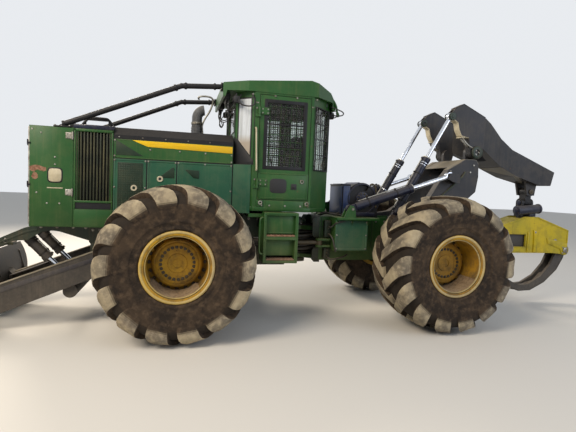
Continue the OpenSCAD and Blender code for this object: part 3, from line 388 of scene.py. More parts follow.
TYRE_RUBBER = tyre_rubber()
CHROME_ROD = metal("hard_chrome_rod", "#d4d7dc", "#b9bdc4", 0.10, stain_amount=0.25, spread=0.5)
ZINC_BOLT = metal("zinc_plated_bolt", "#9a978e", "#77736a", 0.38, stain="#5a4632", stain_amount=0.6)
OILY_BOLT = rough_coating("oily_black_bolt", "#2d2718", "#46391d", "#5d4c30", 0.55, 0.6, 40.0, 0.3)
WORN_STEEL = metal("worn_bare_steel", "#8b8780", "#5f5a53", 0.40, stain="#6a4a30", stain_amount=0.7)
SOOTY_STEEL = rough_coating("sooty_exhaust_steel", "#5d6066", "#474747", "#8a8070", 0.7, 0.8, 20.0, 0.3)
CAST_HOUSING = rough_coating("oily_cast_housing", "#2e3029", "#3b3a31", "#675743", 0.75, 1.5, 18.0, 1.0)
HOSE_RUBBER = rough_coating("hydraulic_hose_rubber", "#1b1b1c", "#26251f", "#6d604d", 0.6, 0.5, 60.0, 0.6)
MOULDED_TRIM = rough_coating("moulded_black_trim", "#131315", "#1a1a1d", "#5c5348", 0.6, 0.3, 90.0, 0.2)
SEAT_CLOTH = rough_coating("woven_seat_cloth", "#26272b", "#33353a", "#5e564a", 0.95, 0.8, 160.0, 0.2)
GALVANISED = metal("galvanised_sheet", "#a9a79f", "#86837b", 0.5, stain="#6d5f4a", stain_amount=0.4)
RUST = rough_coating("flaking_rust", "#6b4733", "#92705a", "#8c7c66", 0.9, 1.2, 30.0, 0.4)
LAMP_GLASS = metal("silvered_lamp_glass", "#dfe3e8", "#c3c8cd", 0.12, stain_amount=0.1, spread=0.4)
CAKED_MUD = rough_coating("caked_mud", "#5d4a36", "#776148", "#8b775c", 0.95, 4.0, 22.0, 0.6)
SAFETY_GLASS = safety_glass()

# %% [markdown]
# ## Tools for making pieces
# Sizes from here on are machine millimetres, as on a drawing, counted from the hinge between the two
# frames. Each piece is shaped in them as a bmesh, by operators that work like their namesakes in the
# editor, and only at the end turned to metres, given its finish and put on the body that carries it.

# %% From a bmesh to a piece
TO_METRES = Matrix.Translation((HINGE_X, 0, 0)) @ Matrix.Scale(MM, 4)


def piece(name, bm, material, body, angle=35):
    """Turns a finished bmesh into an object, smooth up to the given angle, that rides on a body. What
    crosses a joint gets (body, other body, where the bending starts, where it ends) instead, which is
    not used: such a piece is left where it was made, on no body, and does not bend."""
    bmesh.ops.transform(bm, matrix=TO_METRES, verts=bm.verts)
    bmesh.ops.recalc_face_normals(bm, faces=bm.faces)
    mesh = bpy.data.meshes.new(name)
    bm.to_mesh(mesh)
    bm.free()
    mesh.materials.append(material)
    mesh.polygons.foreach_set("use_smooth", [True] * len(mesh.polygons))
    mesh.set_sharp_from_angle(angle=math.radians(angle))
    made = bpy.data.objects.new(name, mesh)
    scene.collection.objects.link(made)
    if isinstance(body, str):
        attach(made, body)
    else:
        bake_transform(made)
    print(name, len(mesh.polygons), "faces on", body)
    return made


# %% Blocks, rods, bolts, plates and rings
def round_off(bm, edges, offset, segments=2):
    bmesh.ops.bevel(bm, geom=edges, offset=offset, segments=segments, profile=0.5, affect="EDGES",
                    offset_type="OFFSET", material=-1, clamp_overlap=True)


def block(bm, low, high, soft=0.0):
    """A box from its low to its high corner, its edges rounded by soft."""
    low, high = Vector(low), Vector(high)
    place = Matrix.Translation((low + high) / 2) @ Matrix.Diagonal((*(high - low), 1))
    made = bmesh.ops.create_cube(bm, size=1, matrix=place)
    if soft:
        round_off(bm, list({e for v in made["verts"] for e in v.link_edges}), soft)


def facing(place, direction):
    """Turns Z to a direction and moves the origin to a place."""
    return Matrix.Translation(place) @ Vector(direction).to_track_quat("Z", "Y").to_matrix().to_4x4()


def rod(bm, start, end, radius, end_radius=None, sides=24, soft=0.0):
    """A round bar or cone between two points."""
    start, end = Vector(start), Vector(end)
    made = bmesh.ops.create_cone(bm, cap_ends=True, segments=sides, radius1=radius,
                                 radius2=radius if end_radius is None else end_radius,
                                 depth=(end - start).length, matrix=facing((start + end) / 2, end - start))
    if soft:
        faces = {f for v in made["verts"] for f in v.link_faces if len(f.verts) == sides}
        round_off(bm, list({e for f in faces for e in f.edges}), soft)


def bolt(bm, place, direction, across=22, height=11):
    """A hexagon head on a round washer."""
    place, direction = Vector(place), Vector(direction).normalized()
    rod(bm, place, place + direction * 3, across * 0.8, sides=14)
    rod(bm, place, place + direction * (3 + height), across * 0.577, sides=6)


AXES = {"xz": lambda a, b, c: (a, c, b), "xy": lambda a, b, c: (a, b, c), "yz": lambda a, b, c: (c, a, b)}


def plate(bm, outline, low, high, plane="xz", soft=0.0):
    """A plate cut to an outline in a plane, from low to high across it."""
    turned = AXES[plane]
    face = bm.faces.new([bm.verts.new(turned(a, b, low)) for a, b in outline])
    made = bmesh.ops.extrude_face_region(bm, geom=[face])["geom"]
    moved = [g for g in made if isinstance(g, bmesh.types.BMVert)]
    bmesh.ops.translate(bm, verts=moved, vec=Vector(turned(0, 0, high - low)))
    if soft:
        round_off(bm, list({e for v in moved + list(face.verts) for e in v.link_edges}), soft)


def ring(bm, profile, centre, steps=64, axis=(0, 1, 0), out=(1, 0, 0), closed=True):
    """Spins a profile of (radius, along the axis) fully round an axis through the centre."""
    centre, axis, out = Vector(centre), Vector(axis), Vector(out)
    line = [bm.verts.new(centre + out * r + axis * along) for r, along in profile]
    pairs = list(zip(line, line[1:] + line[:1] if closed else line[1:]))
    edges = [bm.edges.new(two) for two in pairs]
    bmesh.ops.spin(bm, geom=line + edges, cent=centre, axis=axis, angle=2 * math.pi, steps=steps,
                   use_merge=True, use_duplicate=False)


def tube(bm, points, radius, resolution=3):
    """A round hose, pipe or wire that passes through points on a smooth curve."""
    route = bpy.data.curves.new("route", "CURVE")
    route.dimensions = "3D"
    route.bevel_depth = radius
    route.bevel_resolution = resolution
    route.resolution_u = 6
    route.use_fill_caps = True
    spline = route.splines.new("BEZIER")
    points = [Vector(p) for p in points]
    spline.bezier_points.add(len(points) - 1)
    for i, knot in enumerate(spline.bezier_points):
        before, after = points[max(i - 1, 0)], points[min(i + 1, len(points) - 1)]
        reach = (after - before).normalized() if after != before else Vector()
        knot.co = points[i]
        knot.handle_left_type = knot.handle_right_type = "FREE"
        knot.handle_left = points[i] - reach * (points[i] - before).length / 3
        knot.handle_right = points[i] + reach * (after - points[i]).length / 3
    carrier = bpy.data.objects.new("route", route)
    scene.collection.objects.link(carrier)
    mesh = bpy.data.meshes.new_from_object(carrier)
    bm.from_mesh(mesh)
    bpy.data.objects.remove(carrier)
    bpy.data.curves.remove(route)
    bpy.data.meshes.remove(mesh)


def other_side(bm):
    """Adds the mirror image of everything so far on the other side of the machine."""
    made = bmesh.ops.duplicate(bm, geom=bm.verts[:] + bm.edges[:] + bm.faces[:])["geom"]
    bmesh.ops.scale(bm, vec=(1, -1, 1), verts=[g for g in made if isinstance(g, bmesh.types.BMVert)])


def roughen(bm, amount, size):
    """Pushes points in and out by up to amount, in lumps of about size."""
    for v in bm.verts:
        v.co += v.normal * amount * noise.noise(v.co / size)


# %% [markdown]
# ## Finishes on the CAD pieces
# The solids of the CAD model keep their shape and only get their finish here.

# %% Which finish each solid wears
NODE_FINISHES = {
    "front_frame": FRAME_ENAMEL, "front_axle": CAST_HOUSING, "engine_block": CAST_HOUSING,
    "cooling_box": GREEN_ENAMEL, "side_grilles": GREEN_ENAMEL, "engine_hood": GREEN_ENAMEL,
    "cooler_core": MOULDED_TRIM,
    "hood_top": BLACK_ENAMEL, "exhaust_stack": SOOTY_STEEL, "limb_risers": BLACK_ENAMEL,
    "cab_shell": GREEN_ENAMEL, "cab_roof": GREEN_ENAMEL, "cab_glass": SAFETY_GLASS,
    "cab_interior": MOULDED_TRIM, "side_boxes": BLUE_GREEN_ENAMEL, "step_boxes": GREEN_ENAMEL,
    "work_lamps": MOULDED_TRIM, "door_left": GREEN_ENAMEL, "door_right": GREEN_ENAMEL,
    "door_left_glass": SAFETY_GLASS, "door_right_glass": SAFETY_GLASS,
    "blade_frame": BOOM_ENAMEL, "blade": BOOM_ENAMEL, "blade_barrels": BOOM_ENAMEL,
    "rear_frame": GREEN_ENAMEL, "rear_axle": CAST_HOUSING, "winch": BLACK_ENAMEL,
    "arch": BOOM_ENAMEL, "arch_barrels": NAVY_ENAMEL, "boom": BOOM_ENAMEL, "boom_barrels": NAVY_ENAMEL,
    "crosshead": BLACK_ENAMEL, "swing_link": BLACK_ENAMEL, "grapple_head": YELLOW_ENAMEL,
    "tong_front": BOOM_ENAMEL, "tong_rear": BOOM_ENAMEL,
    "steer_barrel_left": BOOM_ENAMEL, "steer_barrel_right": BOOM_ENAMEL,
    "steer_rod_left": OILY_BOLT, "steer_rod_right": OILY_BOLT,
    "blade_rods": CHROME_ROD, "arch_rods": CHROME_ROD, "boom_rods": CHROME_ROD,
    "rim_front_left": RIM_ENAMEL, "rim_front_right": RIM_ENAMEL,
    "rim_rear_left": RIM_ENAMEL, "rim_rear_right": RIM_ENAMEL,
    "tyre_front_left": TYRE_RUBBER, "tyre_front_right": TYRE_RUBBER,
    "tyre_rear_left": TYRE_RUBBER, "tyre_rear_right": TYRE_RUBBER,
}
for node, material in NODE_FINISHES.items():
    mesh = frame["nodes"][node].data
    for index in range(len(mesh.materials)):
        mesh.materials[index] = material
print("bare nodes", sorted(set(frame["nodes"]) - set(NODE_FINISHES)))
print("nodes of several materials", [n for n, o in frame["nodes"].items() if len(o.data.materials) > 1])

# %% [markdown]
# ## Tyres
# A forestry tyre carries broad bars that start as a narrow nose near the middle, trail outwards and
# wrap over the shoulder on to the side wall, and the bars of the two sides alternate. The CAD tyre has
# them as plain blocks. Here the carcass is a rounded profile spun round the axle, and one bar is lofted
# through cross-sections with bridge_loops, bevelled like moulded rubber and copied round.

# %% Carcass
TYRE_CENTRE_Z = 985
LUG_COUNT = 14
FIRST_LUG = 90 + 4.4
CARCASS = [
    (410, -372), (446, -382), (453, -394), (466, -406), (486, -406), (500, -399), (540, -414), (546, -420),
    (560, -424), (566, -421), (620, -438), (700, -447), (760, -445), (805, -434), (838, -412), (866, -378),
    (888, -330), (902, -280), (912, -220), (919, -140), (922, -70), (923, 0),
]


def carcass(bm):
    profile = CARCASS + [(r, -y) for r, y in reversed(CARCASS[:-1])]
    ring(bm, profile, (0, 0, 0), steps=168, closed=False)


# %% One bar of the tread
# Columns: place across the tyre and radius of the outer face, the same for the inner face, angle that
# the section trails by and half the bar's width, both in degrees
BAR_SECTIONS = [
    (-30, 985, -30, 896, 0.0, 4.4), (70, 985, 70, 894, 4.2, 4.9), (170, 982, 170, 890, 8.2, 5.3),
    (260, 974, 245, 878, 12.6, 6.0), (335, 960, 300, 858, 16.6, 6.9), (390, 940, 340, 832, 19.6, 7.6),
    (428, 912, 372, 806, 21.8, 8.2), (446, 878, 392, 784, 23.0, 8.6), (454, 836, 408, 760, 23.8, 8.8),
    (458, 790, 422, 734, 24.2, 8.8), (459, 748, 430, 708, 24.4, 8.4), (452, 716, 436, 694, 24.5, 7.6),
]
DRAFT = 10.0


def section_loop(bm, row):
    """Corners of a section: inner trailing, outer trailing, outer leading, inner leading."""
    y_out, r_out, y_in, r_in, trail, half = row
    wider = math.degrees(DRAFT / r_in)
    corners = [(y_in, r_in, half + wider), (y_out, r_out, half),
               (y_out, r_out, -half), (y_in, r_in, -half - wider)]
    loop = []
    for y, r, off in corners:
        angle = math.radians(-trail - off)
        loop.append(bm.verts.new((r * math.cos(angle), y, r * math.sin(angle))))
    return loop, [bm.edges.new((loop[i], loop[(i + 1) % 4])) for i in range(4)]


def tread_bar():
    """One bar of the side towards +Y, its nose at angle 0, as a mesh."""
    bm = bmesh.new()
    loops = [section_loop(bm, row) for row in BAR_SECTIONS]
    bmesh.ops.bridge_loops(bm, edges=[e for _, edges in loops for e in edges])
    for verts, _ in (loops[0], loops[-1]):
        bm.faces.new(verts)
    bmesh.ops.recalc_face_normals(bm, faces=bm.faces)
    outer = {v for verts, _ in loops for v in verts[1:3]}
    rims = [e for e in bm.edges if e.verts[0] in outer and e.verts[1] in outer
            and e.calc_face_angle(0) > math.radians(32)]
    round_off(bm, rims, 11)
    long_edges = [e for e in bm.edges if e.calc_length() > 40]
    bmesh.ops.subdivide_edges(bm, edges=long_edges, cuts=1, use_grid_fill=True)
    mesh = bpy.data.meshes.new("tread_bar")
    bm.to_mesh(mesh)
    bm.free()
    return mesh


# %% Four whole tyres
AXLE_X = 1900
HALF_TRACK = 1265
# Place along the machine, and the side, -1 on the left
WHEELS = {"front_left": (-AXLE_X, -1), "front_right": (-AXLE_X, 1),
          "rear_left": (AXLE_X, -1), "rear_right": (AXLE_X, 1)}


def wheel_place(name):
    """Where a wheel's own drawing goes. Its outer side is drawn towards -Y."""
    x, side = WHEELS[name]
    return Matrix.Translation((x, side * HALF_TRACK, TYRE_CENTRE_Z)) @ Matrix.Diagonal((1, -side, 1, 1))


def crown_of(face, x):
    """1 on a bar's face that touches the ground, 0 on its flanks towards the gaps and low on the wall."""
    middle = face.calc_center_median() - Vector((x, 0, TYRE_CENTRE_Z))
    middle.y = 0
    across = Vector((-middle.z, 0, middle.x)).normalized()
    flank = abs(face.normal.dot(across))
    height = min(max((middle.length - 735) / 110, 0), 1)
    return height * min(max((0.72 - flank) / 0.3, 0), 1)


def tyre(name, bar):
    bm = bmesh.new()
    carcass(bm)
    on_carcass = len(bm.faces)
    for row in (0, 1):
        for i in range(LUG_COUNT):
            nose = math.radians(FIRST_LUG + (i + row / 2) * 360 / LUG_COUNT)
            before = len(bm.verts)
            bm.from_mesh(bar)
            bm.verts.ensure_lookup_table()
            turned = Matrix.Diagonal((1, 1 - 2 * row, 1, 1)) @ Matrix.Rotation(nose, 4, "Y")
            bmesh.ops.transform(bm, matrix=turned, verts=bm.verts[before:])
    bmesh.ops.transform(bm, matrix=wheel_place(name), verts=bm.verts)
    bmesh.ops.recalc_face_normals(bm, faces=bm.faces)
    bm.normal_update()
    roughen(bm, 6, 90)
    roughen(bm, 3, 28)
    crown = bm.faces.layers.float.new("crown")
    bm.faces.ensure_lookup_table()
    for i, face in enumerate(bm.faces):
        # The carcass in the tread band is given a value below zero: painted shade between the bars.
        if i < on_carcass:
            middle = face.calc_center_median() - Vector((WHEELS[name][0], 0, TYRE_CENTRE_Z))
            face[crown] = -min(max((math.hypot(middle.x, middle.z) - 715) / 60, 0), 1)
        else:
            face[crown] = crown_of(face, WHEELS[name][0])
    made = piece("tread_" + name, bm, TYRE_RUBBER, "wheel_" + name, angle=50)
    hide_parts("tyre_" + name)


bar = tread_bar()
for name in WHEELS:
    tyre(name, bar)


# %% [markdown]
# ## Wheels
# The yellow wheel is deep-dished. In its middle sits the drum of the final drive, closed by a cover with
# a ring of bolts, and the wheel nuts stand round it in the bottom of the dish. Bolts are hexagonal
# heads on washers, one mesh for a whole wheel. Mud that has dried in the lower half of the dish is a spun
# band, cut off above by a plane and pushed about by noise.

# %% Bolt rings and the valve
HUB_FACE_Y, DISC_Y = -85, 45


def polar(radius, degrees, y):
    return (radius * math.cos(math.radians(degrees)), y, radius * math.sin(math.radians(degrees)))


def wheel_piece(kind, name, bm, material, angle=35):
    """Puts what was drawn round the origin on its wheel."""
    bmesh.ops.transform(bm, matrix=wheel_place(name), verts=bm.verts)
    piece(kind + "_" + name, bm, material, "wheel_" + name, angle)


def hub_fittings(name):
    bm = bmesh.new()
    valve = 152 if "front" in name else -42
    ring(bm, [(222, -82), (262, -79), (262, -86), (258, -89), (226, -92), (222, -89)], (0, 0, 0), steps=72)
    ring(bm, [(60, -84), (118, -84), (122, -88), (118, -93), (60, -95), (56, -90)], (0, 0, 0), steps=48)
    rod(bm, polar(352, valve, 40), polar(352, valve, -30), 26, sides=20, soft=4)
    wheel_piece("hub_fittings", name, bm, RIM_ENAMEL)


def hub_bolts(name):
    bm = bmesh.new()
    for i in range(24):
        bolt(bm, polar(205, i * 15 + 4, HUB_FACE_Y + 3), (0, -1, 0), across=27, height=12)
    for i in range(20):
        bolt(bm, polar(347, i * 18, DISC_Y - 12), (0, -1, 0), across=30, height=22)
    wheel_piece("hub_bolts", name, bm, OILY_BOLT)


for name in WHEELS:
    hub_fittings(name)
    hub_bolts(name)

# %% Lock rings round the rims
def lock_ring(name):
    bm = bmesh.new()
    ring(bm, [(404, -384), (410, -397), (420, -402), (432, -401), (438, -396), (440, -390), (430, -386)],
         (0, 0, 0), steps=96)
    ring(bm, [(372, -352), (378, -352), (378, -372), (374, -380), (366, -376), (364, -360)], (0, 0, 0),
         steps=96)
    wheel_piece("lock_ring", name, bm, RING_ENAMEL, angle=50)


for name in WHEELS:
    lock_ring(name)

# %% Dried mud in the dishes
MUD_LEVEL = {"front": -235, "rear": -150}


def dish_mud(name):
    bm = bmesh.new()
    ring(bm, [(377, -350), (364, -300), (356, -200), (350, -110), (346, -50), (352, 10), (377, 20)],
         (0, 0, 0), steps=90)
    bmesh.ops.subdivide_edges(bm, edges=[e for e in bm.edges if e.calc_length() > 70], cuts=2)
    level = MUD_LEVEL["rear" if name.startswith("rear") else "front"]
    bmesh.ops.bisect_plane(bm, geom=bm.verts[:] + bm.edges[:] + bm.faces[:], plane_co=(0, 0, level),
                           plane_no=(0.12, 0, 1), clear_outer=True)
    bmesh.ops.holes_fill(bm, edges=[e for e in bm.edges if e.is_boundary], sides=0)
    bmesh.ops.transform(bm, matrix=wheel_place(name), verts=bm.verts)
    bmesh.ops.recalc_face_normals(bm, faces=bm.faces)
    bm.normal_update()
    roughen(bm, 9, 60)
    roughen(bm, 4, 18)
    piece("dish_mud_" + name, bm, CAKED_MUD, "wheel_" + name, angle=60)


for name in WHEELS:
    dish_mud(name)

# %% [markdown]
# ## Engine housing
# The sides of the hood are doors of folded sheet steel: a flat outside with a border that stays proud of
# a slightly pressed-in field, hung in a frame so that a dark gap runs round each. An inset of the outer
# face gives the border and a second one, pushed in, gives the pressing. A dark sheet behind the doors
# is painted shade in the gaps. Both sides of the machine are alike, so each mesh is mirrored.

# %% Pressed sheets
SIDE_Y = -645


def pressed_sheet(bm, low, high, border=26, depth=5, soft=4):
    """A sheet whose outer face, towards -Y, is pressed in behind a border."""
    low, high = Vector(low), Vector(high)
    place = Matrix.Translation((low + high) / 2) @ Matrix.Diagonal((*(high - low), 1))
    verts = bmesh.ops.create_cube(bm, size=1, matrix=place)["verts"]
    face = min({f for v in verts for f in v.link_faces}, key=lambda f: f.calc_center_median().y)
    corners = list(face.verts)
    rim = list(face.edges)
    bmesh.ops.inset_region(bm, faces=[face], thickness=border, depth=0)
    bmesh.ops.inset_region(bm, faces=[face], thickness=depth * 1.6, depth=-depth)
    upright = [e for v in corners for e in v.link_edges if e.other_vert(v).co.y > v.co.y + 1]
    round_off(bm, rim + upright, soft)


# Columns: front and rear end along the machine, bottom and top
HOOD_DOORS = [(-2762, -2346, 1356, 2281), (-2332, -1950, 1356, 2279), (-1936, -1180, 1356, 2277)]

# A dark sheet behind the doors: painted shade in the gaps round them.
bm = bmesh.new()
block(bm, (-2768, SIDE_Y - 2.5, 1350), (-1172, SIDE_Y + 3, 2543))
other_side(bm)
piece("hood_door_gap_shade", bm, MOULDED_TRIM, "front")

bm = bmesh.new()
for front, rear, bottom, top in HOOD_DOORS:
    pressed_sheet(bm, (front, SIDE_Y - 14, bottom), (rear, SIDE_Y, top))
other_side(bm)
piece("hood_doors", bm, BLUE_GREEN_ENAMEL, "front")

bm = bmesh.new()
pressed_sheet(bm, (-2762, SIDE_Y - 14, 2292), (-1178, SIDE_Y, 2541), border=12, depth=3)
other_side(bm)
piece("hood_side_rail", bm, GREEN_ENAMEL, "front")

# %% Dark insets of the doors, painted shade of their recesses, one of them with a wire mesh
DOOR_INSETS = [
    [(-2738, 2531), (-2736, 2330), (-2390, 2330)],
    [(-2712, 1560), (-2712, 2234), (-2388, 2234), (-2388, 1560)],
    [(-2180, 2052), (-2005, 2196), (-1978, 2196), (-1978, 2052)],
    [(-1832, 2178), (-1640, 2172), (-1640, 2060), (-1716, 2066)],
]
bm = bmesh.new()
for outline in DOOR_INSETS:
    plate(bm, outline, SIDE_Y - 14.5, SIDE_Y - 9, soft=2)
for i in range(11):
    block(bm, (-2704 + i * 29, SIDE_Y - 16, 1568), (-2699 + i * 29, SIDE_Y - 12, 2226))
for i in range(22):
    block(bm, (-2704, SIDE_Y - 16, 1580 + i * 30), (-2396, SIDE_Y - 12, 1585 + i * 30))
other_side(bm)
piece("hood_inset_shade_and_mesh", bm, RECESS_SHADE_ENAMEL, "front")

# %% Stripe
# Columns: along the machine, height. The stripe narrows to a point at the grille.
STRIPE = [(-2535, 2538), (-2331, 2459), (-1182, 2437), (-1182, 2531), (-1700, 2535)]
bm = bmesh.new()
plate(bm, STRIPE, SIDE_Y - 16, SIDE_Y - 9, soft=1.5)
other_side(bm)
piece("hood_stripe", bm, STRIPE_ENAMEL, "front")

# %% Ports and bolts of the hood, with dark discs as painted shade in the ports' holes
HOOD_PORTS = [(-2501, 1895), (-2164, 2032)]
bm = bmesh.new()
for x, z in HOOD_PORTS:
    ring(bm, [(20, 2), (20, -8), (25, -11), (38, -11), (42, -7), (42, 2)], (x, SIDE_Y - 9, z), steps=28)
other_side(bm)
piece("hood_port_rings", bm, PALE_ENAMEL, "front")

# Dark discs inside the port rings: painted shade of the holes.
bm = bmesh.new()
for x, z in HOOD_PORTS:
    rod(bm, (x, SIDE_Y - 8, z), (x, SIDE_Y - 11, z), 21, sides=24)
other_side(bm)
piece("hood_port_hole_shade", bm, MOULDED_TRIM, "front")

HOOD_BOLTS = [(-2752, 2525), (-2752, 2318), (-2300, 2420), (-1908, 2420), (-1560, 2415), (-1194, 2410),
              (-1194, 2312), (-2752, 2262), (-2358, 2262), (-2320, 2262), (-1962, 2262), (-1924, 2262),
              (-1194, 2262), (-2752, 1900), (-2358, 1900), (-1194, 1900), (-1560, 2262)]
bm = bmesh.new()
for x, z in HOOD_BOLTS:
    bolt(bm, (x, SIDE_Y - 13.5, z), (0, -1, 0), across=15, height=6)
other_side(bm)
piece("hood_bolts", bm, ZINC_BOLT, "front")

# %% [markdown]
# ## Cooling box and its grille
# In front of the hood stands a plain steel box with the fan and the coolers. Its side is one sheet with
# a pale front edge, a painted highlight of light on the front, two hinges, a bare plate and a patch
# where the paint has come off down to rust. Behind it the air goes in through a row of upright slats in
# a tube frame.

# %% Box sides
bm = bmesh.new()
block(bm, (-3774, SIDE_Y - 7, 1352), (-3262, SIDE_Y + 2, 2646), soft=3)
block(bm, (-3246, SIDE_Y - 6, 1352), (-2776, SIDE_Y + 2, 1582), soft=3)
other_side(bm)
piece("cooling_box_sides", bm, GREEN_ENAMEL, "front")

# A pale strip on the front edge of each side, and bars across the front: painted highlight where light falls
# on the front of the box.
bm = bmesh.new()
block(bm, (-3790, SIDE_Y - 8, 1380), (-3772, SIDE_Y + 26, 2630), soft=5)
other_side(bm)
for z in (1480, 1740, 2000, 2260, 2520):
    block(bm, (-3787, -535, z - 7), (-3779, 535, z + 7), soft=2)
piece("cooling_box_front_highlight", bm, GALVANISED, "front")

bm = bmesh.new()
for z in (2423, 1890):
    block(bm, (-3800, SIDE_Y - 12, z - 38), (-3784, SIDE_Y + 12, z + 38), soft=5)
    rod(bm, (-3796, SIDE_Y - 8, z - 20), (-3796, SIDE_Y - 8, z + 44), 8, sides=12, soft=2)
    block(bm, (-3792, SIDE_Y - 14, z - 12), (-3762, SIDE_Y - 7, z + 12), soft=2)
other_side(bm)
piece("cooling_box_latches", bm, BLACK_ENAMEL, "front")

# %% Hinges, bolts and the bare plate of the box
BOX_BOLTS = [(-3477, 2256), (-3476, 2162), (-3690, 1790), (-3569, 1655), (-3420, 1655), (-3640, 2560),
             (-3745, 2600)]
bm = bmesh.new()
for z in (2545, 1805):
    rod(bm, (-3268, SIDE_Y - 15, z - 52), (-3268, SIDE_Y - 15, z + 52), 11, sides=16, soft=2)
    block(bm, (-3352, SIDE_Y - 15, z - 40), (-3272, SIDE_Y - 6, z + 40), soft=3)
    for dz in (-24, 24):
        bolt(bm, (-3330, SIDE_Y - 14, z + dz), (0, -1, 0), across=15, height=6)
for x, z in BOX_BOLTS:
    bolt(bm, (x, SIDE_Y - 6.5, z), (0, -1, 0), across=14, height=5)
other_side(bm)
piece("cooling_box_hinges", bm, GALVANISED, "front")

SQUARENESS = 0.45


def squared(value):
    """Pushes a sine or cosine outwards, so that a circle becomes a square with round corners."""
    return math.copysign(abs(value) ** SQUARENESS, value)


PLATE_ANGLES = [math.radians(i * 10 + 5) for i in range(36)]
ROUNDED = [(squared(math.cos(a)), squared(math.sin(a))) for a in PLATE_ANGLES]
bm = bmesh.new()
plate(bm, [(-3475 + 92 * a, 2022 + 100 * b) for a, b in ROUNDED], SIDE_Y - 9, SIDE_Y - 5, soft=1)
other_side(bm)
piece("bare_plate_backs", bm, BLACK_ENAMEL, "front")

bm = bmesh.new()
plate(bm, [(-3475 + 77 * a, 2022 + 85 * b) for a, b in ROUNDED], SIDE_Y - 11, SIDE_Y - 8, soft=1)
block(bm, (-3570, SIDE_Y - 8.5, 1850), (-3382, SIDE_Y - 6, 1862))
other_side(bm)
piece("bare_plates", bm, PALE_ENAMEL, "front")

# %% Rust where the paint has peeled
RUST_PATCHES = [(-3690, 2110, 88, 34), (-3620, 2095, 42, 30), (-3735, 2085, 34, 26), (-3712, 2002, 36, 44)]
bm = bmesh.new()
for i, (x, z, half_x, half_z) in enumerate(RUST_PATCHES):
    outline = []
    for k in range(22):
        angle = math.radians(k * 360 / 22)
        ragged = 1 + 0.5 * noise.noise(Vector((math.cos(angle) * 2.1, math.sin(angle) * 2.1, i * 7.3)))
        outline.append((x + half_x * ragged * math.cos(angle), z + half_z * ragged * math.sin(angle)))
    plate(bm, outline, SIDE_Y - 7.8 - 0.2 * i, SIDE_Y - 6)
piece("peeled_paint", bm, RUST, "front")

# %% Grille slats and their frame
bm = bmesh.new()
for i in range(1, 10):
    x = -3210 + i * 40
    block(bm, (x - 10, SIDE_Y + 1, 1703), (x + 10, SIDE_Y + 44, 2607), soft=4)
for x in (-3222, -3200, -2818, -2796):
    block(bm, (x - 5, SIDE_Y - 3, 1700), (x + 5, SIDE_Y + 4, 2608), soft=3)
other_side(bm)
piece("grille_slats", bm, GRILLE_ENAMEL, "front")

bm = bmesh.new()
for low, high in (((-3250, -12, 1590), (-3232, 4, 2644)), ((-2790, -12, 1590), (-2772, 4, 2644)),
                  ((-3250, -12, 2612), (-2772, 4, 2644)), ((-3250, -15, 1676), (-2772, 4, 1704))):
    block(bm, (low[0], SIDE_Y + low[1], low[2]), (high[0], SIDE_Y + high[1], high[2]), soft=5)
other_side(bm)
piece("grille_frame", bm, GREEN_ENAMEL, "front")

bm = bmesh.new()
block(bm, (-3230, SIDE_Y - 4, 1592), (-2792, SIDE_Y + 2, 1674))
other_side(bm)
piece("grille_foot", bm, BLACK_ENAMEL, "front")

# %% Cap over the coolers and its handles
bm = bmesh.new()
block(bm, (-3262, -652, 2648), (-2764, 652, 2704), soft=9)
for y in (-520, 0, 520):
    block(bm, (-3240, y - 18, 2700), (-2790, y + 18, 2712), soft=4)
piece("cooler_cap", bm, NAVY_ENAMEL, "front")

bm = bmesh.new()
for x in (-3190, -2790):
    rod(bm, (x, -485, 2700), (x, -485, 2716), 30, 22, sides=20)
tube(bm, [(-3190, -485, 2700), (-3176, -485, 2730), (-3120, -485, 2800), (-3092, -485, 2814),
          (-2890, -485, 2814), (-2860, -485, 2800), (-2804, -485, 2730), (-2790, -485, 2700)], 17)
other_side(bm)
piece("cap_handles", bm, BLACK_ENAMEL, "front")

# %% Hood top: ribs, a hatch and its bolts
bm = bmesh.new()
block(bm, (-2600, -420, 2694), (-1900, 60, 2708), soft=5)
block(bm, (-2755, -560, 2698), (-2735, 560, 2707), soft=3)
block(bm, (-1200, -560, 2698), (-1180, 560, 2707), soft=3)
for y in (-540, 540):
    block(bm, (-2730, y - 9, 2699), (-1205, y + 9, 2706), soft=3)
piece("hood_top_hatch", bm, BLACK_ENAMEL, "front")

bm = bmesh.new()
for x in (-2575, -2250, -1925):
    for y in (-400, 40):
        bolt(bm, (x, y, 2707), (0, 0, 1), across=18, height=7)
for x in range(-2700, -1200, 300):
    for y in (-641, 641):
        bolt(bm, (x, y, 2573), (0, y, 0), across=15, height=6)
piece("hood_top_bolts", bm, ZINC_BOLT, "front")


# %% [markdown]
# ## Cab
# The cab is a welded green shell with a flat wall for each door and slanted corners in between. Every
# fitting is drawn as if its wall faced the left, with the distance along the wall, out of it and up, and
# is then stood on its own wall by one matrix. Left and right are mirror images.

# %% Standing things on a wall
CAB_TOP = 3310
# Columns: start and end of each wall seen from above, going round the left side from the front
WALLS = {"screen": ((-1150, 580), (-1150, -580)), "front_corner": ((-1150, -580), (-900, -800)),
         "rear_corner": ((-40, -800), (330, -420)), "back": ((330, -420), (330, 420))}


def stand_on(bm, wall, part):
    """Adds to bm a part that was drawn as if its wall faced the left, standing on that wall."""
    a, b = (Vector((*p, 0)) for p in WALLS[wall])
    along = (b - a).normalized()
    inward = Vector((-along.y, along.x, 0))
    turned = Matrix((along, inward, Vector((0, 0, 1)))).transposed().to_4x4()
    bmesh.ops.transform(part, matrix=Matrix.Translation(a) @ turned, verts=part.verts)
    if "corner" in wall:
        other_side(part)
    carrier = bpy.data.meshes.new("part")
    part.to_mesh(carrier)
    part.free()
    bm.from_mesh(carrier)
    bpy.data.meshes.remove(carrier)


def wall_length(wall):
    a, b = WALLS[wall]
    return math.hypot(b[0] - a[0], b[1] - a[1])


